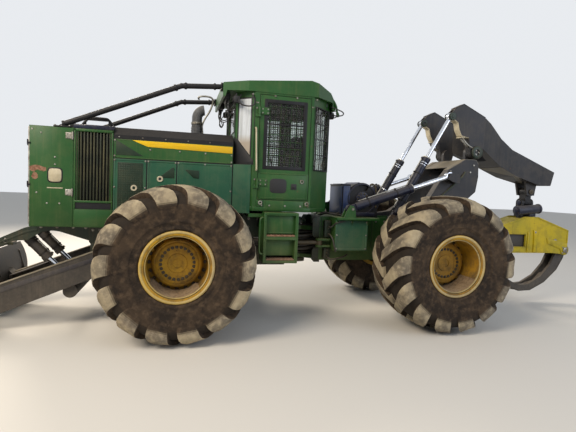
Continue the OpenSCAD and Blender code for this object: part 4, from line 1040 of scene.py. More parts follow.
def frame_bars(bm, low, high, width, inner, outer, soft=3):
    """Four bars round an opening from low to high, each (along the wall, up)."""
    for part_low, part_high in (((low[0] - width, low[1] - width), (low[0], high[1] + width)),
                                ((high[0], low[1] - width), (high[0] + width, high[1] + width)),
                                ((low[0], high[1]), (high[0], high[1] + width)),
                                ((low[0], low[1] - width), (high[0], low[1]))):
        block(bm, (part_low[0], outer, part_low[1]), (part_high[0], inner, part_high[1]), soft=soft)


# %% Rubber seals of the windows
# Columns: wall, start and end of the opening along it, its bottom and top
OPENINGS = [("screen", 60, 1100, 2760, 3230), ("front_corner", 55, 278, 2350, 3230),
            ("rear_corner", 55, 475, 2260, 3180), ("back", 60, 780, 2260, 3180)]
bm = bmesh.new()
for wall, start, end, bottom, top in OPENINGS:
    part = bmesh.new()
    frame_bars(part, (start + 14, bottom + 14), (end - 14, top - 14), 22, 4, -5)
    stand_on(bm, wall, part)
piece("window_seals", bm, MOULDED_TRIM, "front")

# %% Door guards: a black frame filled with welded wire
DOOR_LOW, DOOR_HIGH = (-760, 2245), (-145, 3215)
WIRE_PITCH = 31


def door_window(inset):
    """The low and high corner of the door's window, brought in all round."""
    return (DOOR_LOW[0] + inset, DOOR_LOW[1] + inset), (DOOR_HIGH[0] - inset, DOOR_HIGH[1] - inset)


def door_piece(kind, name, bm, material):
    """Hangs what was drawn for the left door on the named one."""
    bmesh.ops.scale(bm, vec=(1, 1 if name == "left" else -1, 1), verts=bm.verts)
    piece(kind + "_" + name, bm, material, "door_" + name + "_leaf")


def door_guard(name):
    bm = bmesh.new()
    frame_bars(bm, *door_window(44), 52, -788, -803)
    for i in range(1, int((DOOR_HIGH[0] - DOOR_LOW[0] - 80) / WIRE_PITCH) + 1):
        x = DOOR_LOW[0] + 36 + i * WIRE_PITCH
        block(bm, (x - 3, -796, DOOR_LOW[1] + 30), (x + 3, -791, DOOR_HIGH[1] - 30))
    for i in range(1, int((DOOR_HIGH[1] - DOOR_LOW[1] - 80) / WIRE_PITCH) + 1):
        z = DOOR_LOW[1] + 36 + i * WIRE_PITCH
        block(bm, (DOOR_LOW[0] + 30, -799, z - 3), (DOOR_HIGH[0] - 30, -794, z + 3))
    for z in (2560, 2880):
        block(bm, (DOOR_LOW[0] + 20, -797, z - 9), (DOOR_HIGH[0] - 20, -789, z + 9), soft=2)
    door_piece("door_guard", name, bm, BLACK_ENAMEL)


door_guard("left")
door_guard("right")

# %% Door skins, hinge bolts, latches and linings
def door_skin(name):
    bm = bmesh.new()
    for low, high in (((-825, 1810), (-85, 2190)), ((-825, 2190), (-815, 3275)), ((-95, 2190), (-85, 3275))):
        block(bm, (low[0], -801, low[1]), (high[0], -794, high[1]), soft=3)
    frame_bars(bm, (-800, 1836), (-110, 2172), 8, -796, -806, soft=3)
    for z in (2010, 3010):
        block(bm, (-812, -815, z - 14), (-700, -800, z + 90), soft=5)
    door_piece("door_skin", name, bm, GREEN_ENAMEL)


def door_bolts(name):
    bm = bmesh.new()
    for z in (2010, 3010):
        for x, dz in ((-795, 12), (-795, 64), (-722, 12), (-722, 64)):
            bolt(bm, (x, -814, z + dz), (0, -1, 0), across=17, height=7)
    ring(bm, [(16, 0), (16, -10), (24, -12), (30, -8), (30, 0)], (-180, -804, 2080), steps=28)
    door_piece("door_bolts", name, bm, ZINC_BOLT)


def door_latch(name):
    """The latch, and the bare plate below the window."""
    bm = bmesh.new()
    block(bm, (-340, -809, 1960), (-256, -799, 2044), soft=6)
    block(bm, (-322, -815, 1978), (-274, -807, 2026), soft=5)
    rod(bm, (-298, -812, 2002), (-298, -822, 2002), 13, sides=20, soft=2)
    plate(bm, [(-530 + 124 * a, 2007 + 104 * b) for a, b in ROUNDED], -806, -799, soft=1.5)
    door_piece("door_latch", name, bm, MOULDED_TRIM)


def door_lining(name):
    bm = bmesh.new()
    block(bm, (-805, -744, 1826), (-105, -736, 2212), soft=3)
    frame_bars(bm, *door_window(30), 62, -736, -744)
    block(bm, (-330, -740, 2120), (-170, -716, 2150), soft=8)
    door_piece("door_lining", name, bm, MOULDED_TRIM)


for name in ("left", "right"):
    door_skin(name)
    door_bolts(name)
    door_latch(name)
    door_lining(name)

bm = bmesh.new()
frame_bars(bm, (-828, 1806), (-82, 3279), 16, -740, -786, soft=4)
other_side(bm)
piece("door_gaskets", bm, MOULDED_TRIM, "front")

# %% Grab bars, sills with their eyes, and bolts
bm = bmesh.new()
tube(bm, [(-884, -798, 2806), (-884, -838, 2802), (-882, -846, 2760), (-872, -846, 2500), (-862, -846, 2262),
          (-860, -838, 2222), (-860, -798, 2218)], 12)
other_side(bm)
piece("cab_grab_bars", bm, PALE_ENAMEL, "front", angle=60)

bm = bmesh.new()
for x in (-790, -84):
    block(bm, (x - 52, -812, 1705), (x + 40, -796, 1800), soft=5)
block(bm, (-700, -806, 1650), (-140, -796, 1792), soft=6)
block(bm, (-896, -804, 1648), (-36, -797, 1700), soft=4)
other_side(bm)
for wall in ("front_corner", "rear_corner"):
    part = bmesh.new()
    block(part, (6, -6, 1646), (wall_length(wall) - 6, 2, 1700), soft=3)
    stand_on(bm, wall, part)
piece("cab_sills", bm, GREEN_ENAMEL, "front")

bm = bmesh.new()
for x in (-786, -96):
    ring(bm, [(14, 2), (14, -10), (20, -13), (30, -11), (34, 0)], (x, -812, 1758), steps=28)
    bolt(bm, (x + 22, -811, 1722), (0, -1, 0), across=14, height=6)
for x in (-650, -420, -190):
    bolt(bm, (x, -805, 1722), (0, -1, 0), across=17, height=7)
for x in (-880, -862, -60, -52):
    bolt(bm, (x, -799, 3160), (0, -1, 0), across=14, height=6)
for z in (1994, 2086, 2994, 3086):
    bolt(bm, (-874, -799, z), (0, -1, 0), across=17, height=7)
other_side(bm)
piece("cab_bolts", bm, ZINC_BOLT, "front")

# %% Dark gusset under the front corner pane, and the dust-filmed pane
bm, part = bmesh.new(), bmesh.new()
plate(part, [(4, 2292), (329, 2292), (329, 2350), (4, 2694)], -7, 2, soft=2)
frame_bars(part, (8, 2300), (325, 3226), 7, -2, -8, soft=2)
stand_on(bm, "front_corner", part)
piece("corner_gussets", bm, BLACK_ENAMEL, "front")


def filmed_pane():
    """Scuffed polycarbonate: milky where dust and cleaning have dulled it, with rain marks running down."""
    material, tree = new_material("scuffed_polycarbonate")
    where = add(tree, "ShaderNodeTexCoord").outputs["Object"]
    runs, grain = patch(tree, where, 1.0, 0.35, 0.75, detail=7.0, stretch=(30, 30, 2.0))
    tint = blend_colours(tree, runs, colour("#dfe6ee"), colour("#bcc3c8"))
    low = add(tree, "ShaderNodeMapRange", {"Value": add(tree, "ShaderNodeSeparateXYZ", {0: where}).outputs[2],
                                           "From Min": 2.72, "From Max": 2.60}).outputs[0]
    tint = blend_colours(tree, low, tint, colour("#b0a595"))
    rough = add(tree, "ShaderNodeMapRange", {"Value": grain, "To Min": 0.15, "To Max": 0.5}).outputs[0]
    shader = add(tree, "ShaderNodeBsdfPrincipled", {"Base Color": tint, "Roughness": rough, "IOR": 1.5,
                                                    "Transmission Weight": 0.2})
    add(tree, "ShaderNodeOutputMaterial", {"Surface": shader.outputs[0]})
    return material


FILMED_PANE = filmed_pane()
bm, part = bmesh.new(), bmesh.new()
plate(part, [(62, 2646), (272, 2422), (272, 3220), (62, 3220)], -3, 1)
stand_on(bm, "front_corner", part)
piece("front_corner_films", bm, FILMED_PANE, "front")

# %% Guards of the back and rear corner windows
bm = bmesh.new()
for wall, start, end, bottom, top in OPENINGS[2:]:
    part = bmesh.new()
    frame_bars(part, (start + 10, bottom + 10), (end - 10, top - 10), 12, -14, -26, soft=3)
    count = 3 if wall == "rear_corner" else 7
    for i in range(1, count):
        x = start + i * (end - start) / count
        rod(part, (x, -20, bottom), (x, -20, top), 7, sides=12)
    for z in (bottom + 230, bottom + 460, bottom + 690):
        rod(part, (start, -20, z), (end, -20, z), 7, sides=12)
    for x in (start + 4, end - 4):
        for z in (bottom + 60, top - 60):
            rod(part, (x, 0, z), (x, -20, z), 10, sides=12)
    stand_on(bm, wall, part)
piece("rear_window_guards", bm, BLACK_ENAMEL, "front")

# %% Wipers
bm, part = bmesh.new(), bmesh.new()
tube(part, [(560, -14, 2742), (540, -26, 2790), (470, -22, 2960), (420, -18, 3090)], 6)
block(part, (400, -19, 2870), (412, -8, 3190), soft=3)
rod(part, (560, 2, 2742), (560, -24, 2742), 17, sides=20, soft=3)
stand_on(bm, "screen", part)
part = bmesh.new()
tube(part, [(420, -14, 2215), (410, -30, 2260), (330, -30, 2440), (290, -30, 2560)], 6)
rod(part, (420, 2, 2215), (420, -24, 2215), 17, sides=20, soft=3)
stand_on(bm, "back", part)
piece("wipers", bm, MOULDED_TRIM, "front", angle=60)

# %% [markdown]
# ## Roof, lamps and limb risers
# The roof is a folded steel cap that overhangs the cab like a visor. Under its front edge hang work
# lamps with their wiring in loops, and two pipes run from it down to the nose, so that nothing catches
# on the machine. Pipes and wires are bevelled curves turned to meshes.

# %% Roof hatch and the bolts of the roof
bm = bmesh.new()
block(bm, (-900, -330, 3466), (-330, 330, 3486), soft=8)
for y in (-420, 420):
    block(bm, (-1180, y - 12, 3425), (-160, y + 12, 3440), soft=4)
for v in bm.verts:
    v.co.z += (v.co.x + 330) * 0.094
piece("roof_hatch", bm, GREEN_ENAMEL, "front")

bm = bmesh.new()
for x in (-940, -620, -300, 0):
    bolt(bm, (x, -807, CAB_TOP - 40), (0, -1, 0), across=17, height=7)
other_side(bm)
piece("roof_bolts", bm, ZINC_BOLT, "front")

# %% Work lamps
UP = (0, 0, 1)
# Columns: place along, across and up of the lamp's middle, and the way it faces
LAMPS = [(-1290, -520, 3262, -1), (-1290, -300, 3262, -1), (-1290, 300, 3262, -1), (-1290, 520, 3262, -1),
         (420, -300, 3150, 1), (420, 300, 3150, 1)]
bm = bmesh.new()
for x, y, z, way in LAMPS:
    back, face = x - 52 * way, x + 8 * way
    block(bm, (min(back, face), y - 52, z - 47), (max(back, face), y + 52, z + 47), soft=9)
    for i in range(5):
        block(bm, (back - 9, y - 40 + i * 18, z - 36), (back + 9, y - 34 + i * 18, z + 36))
    ring(bm, [(40, 0), (48, 0), (50, 6), (48, 14), (40, 14)], (x, y, z), steps=32, axis=(way, 0, 0), out=UP)
piece("lamp_bodies", bm, MOULDED_TRIM, "front")

bm = bmesh.new()
block(bm, (-1196, -748, 3146), (-1122, -656, 3240), soft=10)
for i in range(5):
    block(bm, (-1128, -740 + i * 18, 3156), (-1114, -735 + i * 18, 3230))
rod(bm, (-1160, -700, 3236), (-1160, -700, 3282), 12, sides=16)
ring(bm, [(34, 0), (42, 0), (44, 6), (42, 14), (34, 14)], (-1194, -702, 3193), steps=32, axis=(-1, 0, 0),
     out=UP)
tube(bm, [(-1090, -700, 3270), (-1130, -770, 3190), (-1110, -806, 3120), (-1020, -824, 3096),
          (-940, -832, 3110), (-916, -826, 3160), (-930, -806, 3230), (-950, -780, 3275)], 10)
tube(bm, [(-1236, -600, 3270), (-1262, -640, 3150), (-1266, -660, 3040), (-1238, -664, 2990),
          (-1206, -660, 3010), (-1204, -650, 3060)], 8)
tube(bm, [(300, -590, 3230), (392, -640, 3190), (470, -650, 3150), (452, -648, 3112), (372, -620, 3104),
          (322, -560, 3120)], 9)
other_side(bm)
piece("corner_lamps", bm, MOULDED_TRIM, "front")

bm = bmesh.new()
for x, y, z, way in LAMPS:
    ring(bm, [(0, 14), (22, 13), (41, 8)], (x, y, z), steps=32, axis=(way, 0, 0), out=UP, closed=False)
    for a in range(0, 360, 60):
        bulb_y, bulb_z = y + 22 * math.cos(math.radians(a)), z + 22 * math.sin(math.radians(a))
        rod(bm, (x + 8 * way, bulb_y, bulb_z), (x + 15 * way, bulb_y, bulb_z), 9, 6, sides=12)
piece("lamp_lenses", bm, LAMP_GLASS, "front", angle=50)

# %% Wiring in loops under the visor
bm = bmesh.new()
for side in (-1, 1):
    for dy in (0, 26):
        y = side * (548 + dy)
        tube(bm, [(-1284, y, 3242 - dy), (-1296, y, 3180 - dy), (-1280, y, 3114 - dy), (-1236, y, 3084 - dy),
                  (-1192, y, 3079 - dy), (-1120, y, 3120 - dy), (-1060, y, 3186 - dy), (-1082, y, 3260)], 8)
    y = side * 500
    tube(bm, [(-1250, y, 3230), (-1262, y, 3120), (-1240, y, 3010), (-1228, y, 2975), (-1250, y, 2950),
              (-1282, y, 2985), (-1270, y, 3050), (-1240, y, 3110), (-1180, y, 3210)], 7)
    block(bm, (-1300, y - 40, 3150), (-1262, y + 34, 3206), soft=6)
    tube(bm, [(372, side * 330, 3196), (452, side * 380, 3220), (474, side * 410, 3170),
              (440, side * 404, 3120), (392, side * 360, 3108)], 8)
piece("lamp_wires", bm, HOSE_RUBBER, "front", angle=60)

bm = bmesh.new()
tube(bm, [(300, -470, 3400), (360, -486, 3350), (410, -480, 3270), (430, -470, 3200), (452, -452, 3150)], 17)
rod(bm, (440, -462, 3175), (470, -436, 3128), 24, sides=16, soft=4)
other_side(bm)
piece("rear_roof_pipes", bm, GREEN_ENAMEL, "front", angle=60)

# %% Risers: feet, bands and end flanges
bm = bmesh.new()
for start, end in (((-3400, 2690), (-3372, 2701)), ((-2000, 3292), (-1970, 3305)),
                   ((-1870, 3334), (-1836, 3336)), ((-1470, 3364), (-1440, 3366))):
    rod(bm, (start[0], -600, start[1]), (end[0], -600, end[1]), 46, sides=28, soft=5)
block(bm, (-3500, -660, 2650), (-3290, -540, 2668), soft=4)
block(bm, (-1367, -662, 3314), (-1356, -538, 3424), soft=3)
other_side(bm)
piece("riser_flanges", bm, BLACK_ENAMEL, "front")

bm = bmesh.new()
for x in (-3480, -3310):
    for y in (-645, -555):
        bolt(bm, (x, y, 2667), (0, 0, 1), across=20, height=9)
for dy in (-50, 50):
    for z in (3330, 3408):
        bolt(bm, (-1366, -600 + dy, z), (-1, 0, 0), across=18, height=8)
other_side(bm)
piece("riser_bolts", bm, ZINC_BOLT, "front")

bm = bmesh.new()
tube(bm, [(-1625, 588, 3398), (-1632, 560, 3425), (-1560, 548, 3446), (-1440, 550, 3440), (-1395, 560, 3400),
          (-1402, 575, 3330), (-1450, 580, 3200), (-1510, 590, 3100), (-1560, 560, 2980), (-1560, 480, 2860),
          (-1540, 420, 2700)], 16)
piece("riser_hose", bm, GALVANISED, "front", angle=60)

# %% Exhaust: clamp, foot collar and heat shield
EXHAUST = (-1660, 200, 0)
bm = bmesh.new()
ring(bm, [(79, 2922), (88, 2922), (90, 2930), (90, 2950), (88, 2958), (79, 2958)], EXHAUST, steps=48, axis=UP)
ring(bm, [(79, 2700), (112, 2700), (112, 2712), (92, 2724), (79, 2750)], EXHAUST, steps=48, axis=UP)
block(bm, (-1672, 98, 2926), (-1648, 122, 2954), soft=4)
rod(bm, (-1690, 108, 2940), (-1628, 108, 2940), 6, sides=12)
piece("exhaust_clamp", bm, GALVANISED, "front", angle=50)

bm = bmesh.new()
ring(bm, [(79, 2760), (85, 2764), (85, 2876), (79, 2880)], EXHAUST, steps=48, axis=UP)
for a in range(0, 360, 30):
    for z in (2790, 2826, 2862):
        x, y = EXHAUST[0] + 85 * math.cos(math.radians(a)), EXHAUST[1] + 85 * math.sin(math.radians(a))
        block(bm, (x - 5, y - 5, z - 8), (x + 5, y + 5, z + 8))
piece("exhaust_shield", bm, SOOTY_STEEL, "front", angle=50)

# %% [markdown]
# ## Inside the cab
# Through the glass one sees the seat, its arm pods and dark trim. The seat's two cushions are crowned
# forms whose edges pull in: a cube is divided, its top and bottom are puffed out, the more the farther
# from the seams, and a subdivision surface rounds it. Dark trim covers the floor, the box behind the
# seat and the ceiling.

# %% Seat cushions
def cushion(name, low, high, puff, tilt=0.0):
    low, high = Vector(low), Vector(high)
    bm = bmesh.new()
    bmesh.ops.create_cube(bm, size=1)
    bmesh.ops.subdivide_edges(bm, edges=bm.edges[:], cuts=5, use_grid_fill=True)
    for v in bm.verts:
        x, y, z = (c * 2 for c in v.co)
        crown = max(0, 1 - x ** 4) * max(0, 1 - y ** 4)
        seam = 0.35 if abs(abs(y) - 0.55) < 0.13 else 1.0
        v.co.z += math.copysign(0.16, z) * crown * seam * puff if abs(z) > 0.9 else 0
        v.co.x *= 1 - 0.07 * (1 - abs(z)) ** 0.5
        v.co.y *= 1 - 0.05 * (1 - abs(z)) ** 0.5
    place = Matrix.Translation((low + high) / 2) @ Matrix.Rotation(tilt, 4, "Y")
    bmesh.ops.transform(bm, matrix=place @ Matrix.Diagonal((*(high - low), 1)), verts=bm.verts)
    made = piece(name, bm, SEAT_CLOTH, "front", angle=180)
    rounding = made.modifiers.new("rounding", "SUBSURF")
    rounding.levels = rounding.render_levels = 2


cushion("seat_cushion", (-575, -255, 2088), (-75, 255, 2190), 1.0, tilt=0.06)
cushion("seat_back", (-480, -240, 2440), (180, 240, 2540), 0.8, tilt=-1.36)

# %% Dark trim inside
bm = bmesh.new()
for low, high in (((-840, -735, 1702), (-70, 735, 1716)), ((60, -380, 1702), (262, 380, 2256)),
                  ((-1082, -510, 3236), (262, 510, 3300))):
    block(bm, low, high, soft=6)
for side in (-1, 1):
    block(bm, (-430, side * 400 - 76, 2258), (-110, side * 400 + 76, 2300), soft=12)
    tube(bm, [(-380, side * 400, 2290), (-384, side * 400, 2360), (-400, side * 398, 2420)], 12)
    rod(bm, (-400, side * 398, 2400), (-412, side * 396, 2480), 22, 17, sides=20, soft=6)
ring(bm, [(168, -9), (180, -11), (186, 0), (180, 11), (168, 9)], (-940, 0, 2440), steps=48,
     axis=Vector((0.82, 0, 0.57)), out=(0, 1, 0))
rod(bm, (-1000, 0, 2380), (-938, 0, 2442), 34, sides=24, soft=5)
piece("cab_trim", bm, MOULDED_TRIM, "front", angle=50)


# %% [markdown]
# ## Steps
# Two recessed steps lead up to each door. Their treads are punched plate, bare and rusty where boots
# wear the paint away, so each is a plate with raised grip bars.

# %% Step backs and treads
bm = bmesh.new()
block(bm, (-704, -893, 1322), (-276, -883, 1594), soft=3)
block(bm, (-704, -858, 1010), (-276, -848, 1244), soft=3)
block(bm, (-690, -899, 1332), (-290, -890, 1350), soft=3)
other_side(bm)
piece("step_backs", bm, GREEN_ENAMEL, "front")

bm = bmesh.new()
for outer, inner, z in ((-938, -712, 960), (-938, -792, 1300)):
    block(bm, (-696, outer, z), (-284, inner, z + 9), soft=2)
    block(bm, (-696, outer - 2, z - 14), (-284, outer + 10, z + 13), soft=4)
    for i in range(10):
        x = -672 + i * 40
        block(bm, (x, outer + 18, z + 8), (x + 16, inner - 12, z + 17), soft=3)
other_side(bm)
piece("step_treads", bm, RUST, "front")

bm = bmesh.new()
for x in (-742, -262):
    block(bm, (x, -946, 916), (x + 24, -932, 1624), soft=4)
for z in (914, 1243, 1604):
    block(bm, (-738, -944, z), (-242, -934, z + 22), soft=4)
tube(bm, [(-752, -930, 1560), (-790, -945, 1540), (-800, -948, 1450), (-800, -948, 1150), (-790, -945, 1060),
          (-742, -925, 1040)], 13)
other_side(bm)
piece("step_rims", bm, GREEN_ENAMEL, "front", angle=50)

# %% [markdown]
# ## Frames and the joint between them
# The two frames are welded from thick plate and hinge on two pins. Between them a bundle of hoses runs
# past the hinge, dark and oily. Each hose is a curve through a few points.

# %% Hoses past the hinge
HOSE_START, HOSE_END = at(-300, 0, 1150), at(300, 0, 1150)
# Columns: place across and up at the front frame, at the hinge and at the rear frame
HINGE_HOSES = [
    ((-150, 1060), (-190, 1030), (-170, 1060)), ((-110, 1110), (-150, 1075), (-120, 1110)),
    ((-160, 1180), (-205, 1140), (-175, 1170)), ((-100, 1230), (-130, 1190), (-100, 1220)),
    ((-40, 1060), (-60, 1020), (-40, 1050)), ((-30, 1180), (-40, 1130), (-30, 1170)),
    ((40, 1120), (60, 1080), (40, 1110)), ((60, 1220), (85, 1180), (60, 1210)),
    ((110, 1070), (140, 1030), (120, 1060)), ((130, 1160), (180, 1120), (150, 1150)),
    ((-170, 1270), (-200, 1240), (-180, 1260)), ((160, 1260), (200, 1225), (180, 1250)),
]
bm = bmesh.new()
for front, middle, rear in HINGE_HOSES:
    tube(bm, [(-360, *front), (-300, *front), (-140, *middle), (0, middle[0], middle[1] - 14), (140, *middle),
              (300, *rear), (360, *rear)], 21)
for i in range(10):
    for y, z in ((-84, 900 + 56 * i), (0, 928 + 52 * i), (90, 910 + 54 * i)):
        sag = 12 * math.sin(i * 2.1 + y)
        tube(bm, [(-360, y, z), (-280, y, z), (0, y + sag, z - 18 - sag), (280, y, z), (360, y, z)], 19,
             resolution=2)
piece("hinge_hoses", bm, HOSE_RUBBER, ("front", "rear", HOSE_START, HOSE_END), angle=60)

for body, x in (("front", -330), ("rear", 330)):
    bm = bmesh.new()
    for z in (1010, 1280):
        block(bm, (x - 14, -225, z), (x + 14, 225, z + 30), soft=5)
    piece("hose_clamps_" + body, bm, FRAME_ENAMEL, body)

# %% Yoke plates that carry the rear frame forward to its hinge
bm = bmesh.new()
plate(bm, [(300, 1222), (300, 1548), (196, 1548), (166, 1500), (166, 1260), (196, 1222)], -338, -306, soft=4)
plate(bm, [(300, 826), (300, 1070), (200, 1060), (170, 1010), (170, 870), (210, 826)], -338, -306, soft=4)
block(bm, (300, -352, 1180), (312, -338, 1548), soft=3)
block(bm, (180, -346, 1388), (452, -336, 1400), soft=2)
other_side(bm)
piece("yoke_plates", bm, FRAME_ENAMEL, "rear")

# %% Bolts and plates of the front frame
def bolt_circle(bm, centre, axis, radius, count, across=20, height=9, turn=0.0):
    """Bolts in a ring round a centre, their heads along an axis."""
    frame_turn = facing(centre, axis)
    for i in range(count):
        angle = math.radians(turn + i * 360 / count)
        place = frame_turn @ Vector((radius * math.cos(angle), radius * math.sin(angle), 0))
        bolt(bm, place, axis, across, height)


BLADE_PIN, ARCH_PIN = (-2450, 1090), (2050, 1450)
FRONT_FRAME_BOLTS = [(-1020, 1500), (-880, 1500), (-740, 1500), (-1020, 1380), (-880, 1380), (-3050, 1290),
                     (-2960, 1290)]
bm = bmesh.new()
bolt_circle(bm, (0, 0, 1506), (0, 0, 1), 72, 6, across=18)
for x in (-3700, -3500, -3300, -3140):
    bolt(bm, (x, -421, 1320), (0, -1, 0), across=24, height=10)
for x, z in FRONT_FRAME_BOLTS:
    bolt(bm, (x, -421, z), (0, -1, 0), across=24, height=10)
bolt_circle(bm, (BLADE_PIN[0], -772, BLADE_PIN[1]), (0, -1, 0), 52, 4, across=18)
other_side(bm)
piece("front_frame_bolts", bm, ZINC_BOLT, "front")

bm = bmesh.new()
for low, high in (((-2380, -424, 1200), (-2110, -416, 1310)), ((-1690, -424, 1200), (-1420, -416, 1310)),
                  ((-3080, -424, 930), (-2920, -416, 1100))):
    block(bm, low, high, soft=3)
plate(bm, [(-3740, 1296), (-3900, 1256), (-4180, 1120), (-4276, 1072), (-4276, 1052), (-4180, 1098),
           (-3895, 1230), (-3740, 1268)], -426, -418, soft=2)
other_side(bm)
piece("front_frame_plates", bm, FRAME_ENAMEL, "front")

# %% Rear frame: side boxes, flanges, valves
bm = bmesh.new()
pressed_sheet(bm, (456, -600, 1050), (994, -588, 1524), border=34, depth=4)
other_side(bm)
piece("rear_box_panels", bm, BLUE_GREEN_ENAMEL, "rear")

bm = bmesh.new()
block(bm, (444, -670, 1530), (1156, -655, 1567), soft=5)
block(bm, (436, -662, 1560), (1156, -340, 1567), soft=2)
for x in (470, 720, 980):
    plate(bm, [(-590, 1534), (-655, 1534), (-592, 1440)], x, x + 12, plane="yz", soft=2)
for x in (520, 930):
    block(bm, (x, -604, 1540), (x + 50, -598, 1550), soft=2)
other_side(bm)
piece("rear_flanges", bm, GREEN_ENAMEL, "rear")

bm = bmesh.new()
for x in (1060, 1180):
    block(bm, (x, -346, 1060), (x + 8, -338, 1530), soft=3)
for z0, z1 in ((1236, 1500), (890, 1060)):
    block(bm, (338, -430, z0), (442, -342, z1), soft=6)
    for k in range(3):
        z = z0 + 40 + k * (z1 - z0 - 70) / 2
        rod(bm, (390, -430, z), (390, -452, z), 19, sides=6)
        rod(bm, (390, -452, z), (390, -470, z), 13, sides=16)
other_side(bm)
piece("rear_valve_blocks", bm, FRAME_ENAMEL, "rear")

SIDE_BOX_BOLTS = [(480, 1500), (725, 1500), (970, 1500), (480, 1076), (970, 1076), (480, 1290), (970, 1290)]
REAR_FRAME_BOLTS = [(1250, 1500), (1400, 1500), (2250, 1500), (2450, 1350), (2600, 1200), (2780, 1240),
                    (2780, 900)]
bm = bmesh.new()
for x, z in SIDE_BOX_BOLTS:
    bolt(bm, (x, -599, z), (0, -1, 0), across=18, height=7)
for x, z in REAR_FRAME_BOLTS:
    bolt(bm, (x, -341, z), (0, -1, 0), across=24, height=10)
bolt_circle(bm, (ARCH_PIN[0], -522, ARCH_PIN[1]), (0, -1, 0), 62, 6, across=18)
bolt(bm, (698, -671, 1700), (0, -1, 0), across=26, height=9)
other_side(bm)
piece("rear_frame_bolts", bm, ZINC_BOLT, "rear")

bm = bmesh.new()
block(bm, (546, -612, 1494), (610, -597, 1512), soft=3)
tube(bm, [(390, -470, 1400), (400, -520, 1400), (440, -560, 1440), (470, -610, 1480), (560, -622, 1500)], 13)
tube(bm, [(390, -470, 1290), (404, -540, 1270), (430, -580, 1200), (448, -606, 1100), (470, -606, 1030)], 13)
tube(bm, [(390, -470, 920), (420, -510, 900), (520, -500, 905), (680, -430, 930), (760, -360, 950)], 13)
for side in (-1, 1):
    tube(bm, [(330, side * 120, 1562), (420, side * 200, 1600), (560, side * 300, 1590),
              (640, side * 420, 1600), (660, side * 520, 1640)], 15)
tube(bm, [(330, -60, 1562), (440, -130, 1606), (600, -180, 1590), (680, -200, 1640)], 15)
piece("rear_frame_hoses", bm, HOSE_RUBBER, "rear", angle=60)

# %% Axles: covers and brake lines
for body, x0 in (("front", -AXLE_X), ("rear", AXLE_X)):
    bm = bmesh.new()
    for way in (-1, 1):
        bolt_circle(bm, (x0 + way * 310, 0, TYRE_CENTRE_Z), (way, 0, 0), 92, 10, across=20)
        ring(bm, [(60, 0), (108, 0), (112, 6), (108, 12), (60, 12)], (x0 + way * 308, 0, TYRE_CENTRE_Z),
             steps=40, axis=(way, 0, 0), out=UP)
    for side in (-1, 1):
        ring(bm, [(150, 0), (184, 0), (188, 8), (184, 24), (150, 30)], (x0, side * 968, TYRE_CENTRE_Z),
             steps=48, axis=(0, -side, 0))
        bolt_circle(bm, (x0, side * 944, TYRE_CENTRE_Z), (0, -side, 0), 168, 12, across=20)
        tube(bm, [(x0 - 120, side * 210, 1120), (x0 - 90, side * 400, 1142), (x0 - 60, side * 700, 1140),
                  (x0 - 40, side * 900, 1120)], 9)
    piece("axle_fittings_" + body, bm, OILY_BOLT, body, angle=50)

# %% [markdown]
# ## Cylinders
# Every hydraulic cylinder has the same fittings: a screwed gland where the rod comes out, two bands that
# hold a hard line along the barrel, and ports at both ends of that line. They are made once by
# functions along the cylinder's own axis, and ride on the barrel.

# %% Fittings along a barrel
def cylinder_line(start, end, across):
    """The first pin of a cylinder between two (x, z) pins, its axis, and the way up from it."""
    start, end = Vector((start[0], across, start[1])), Vector((end[0], across, end[1]))
    axis = (end - start).normalized()
    return start, axis, Vector((-axis.z, 0, axis.x))


def barrel_fittings(bm, start, end, across, barrel_r, length, neck):
    """Two bands with their blocks, and two ports, on a barrel that begins a neck away from its pin."""
    start, axis, up = cylinder_line(start, end, across)
    for t in (neck + 0.22 * (length - neck), neck + 0.72 * (length - neck)):
        ring(bm, [(barrel_r - 1, -13), (barrel_r + 5, -11), (barrel_r + 5, 11), (barrel_r - 1, 13)],
             start + axis * t, steps=40, axis=axis, out=up)
        middle = start + axis * t + up * (barrel_r + 12)
        block(bm, middle - Vector((14, 14, 14)), middle + Vector((14, 14, 14)), soft=4)
    for t in (neck + 48, length - 30):
        foot = start + axis * t
        rod(bm, foot + up * (barrel_r - 8), foot + up * (barrel_r + 28), 19, sides=20, soft=3)


def gland(bm, start, end, across, barrel_r, rod_r, length, neck):
    """A gland where the rod comes out, and the bright hard line along the barrel."""
    start, axis, up = cylinder_line(start, end, across)
    line_up = up * (barrel_r + 13)
    rod(bm, start + axis * (neck + 40) + line_up, start + axis * (length - 34) + line_up, 9, sides=12)
    ring(bm, [(rod_r + 2, -2), (barrel_r + 2, -2), (barrel_r + 6, 4), (barrel_r + 6, 16), (barrel_r - 8, 22),
              (rod_r + 9, 24), (rod_r + 2, 24)], start + axis * length, steps=48, axis=axis, out=up)


# Columns: start and end pin, place across, radius of the barrel and the rod, length, place of the
# gland, neck
CYLINDERS = {
    "boom_barrels": ((1480, 1540), (2460, 3290), 430, 62, 34, 1180, 1180, 125),
    "arch_barrels": ((680, 1700), (2390, 2290), 590, 68, 38, 1100, 1100, 100),
    "blade_barrels": ((-3950, 1215), (-3400, 640), 312, 62, 36, 470, 444, 90),
}
for body, (start, end, across, barrel_r, rod_r, length, gland_at, neck) in CYLINDERS.items():
    bm = bmesh.new()
    barrel_fittings(bm, start, end, -across, barrel_r, length, neck)
    other_side(bm)
    piece(body + "_fittings", bm, BLACK_ENAMEL, body)
    bm = bmesh.new()
    gland(bm, start, end, -across, barrel_r, rod_r, gland_at, neck)
    other_side(bm)
    piece(body + "_glands", bm, GALVANISED, body, angle=50)

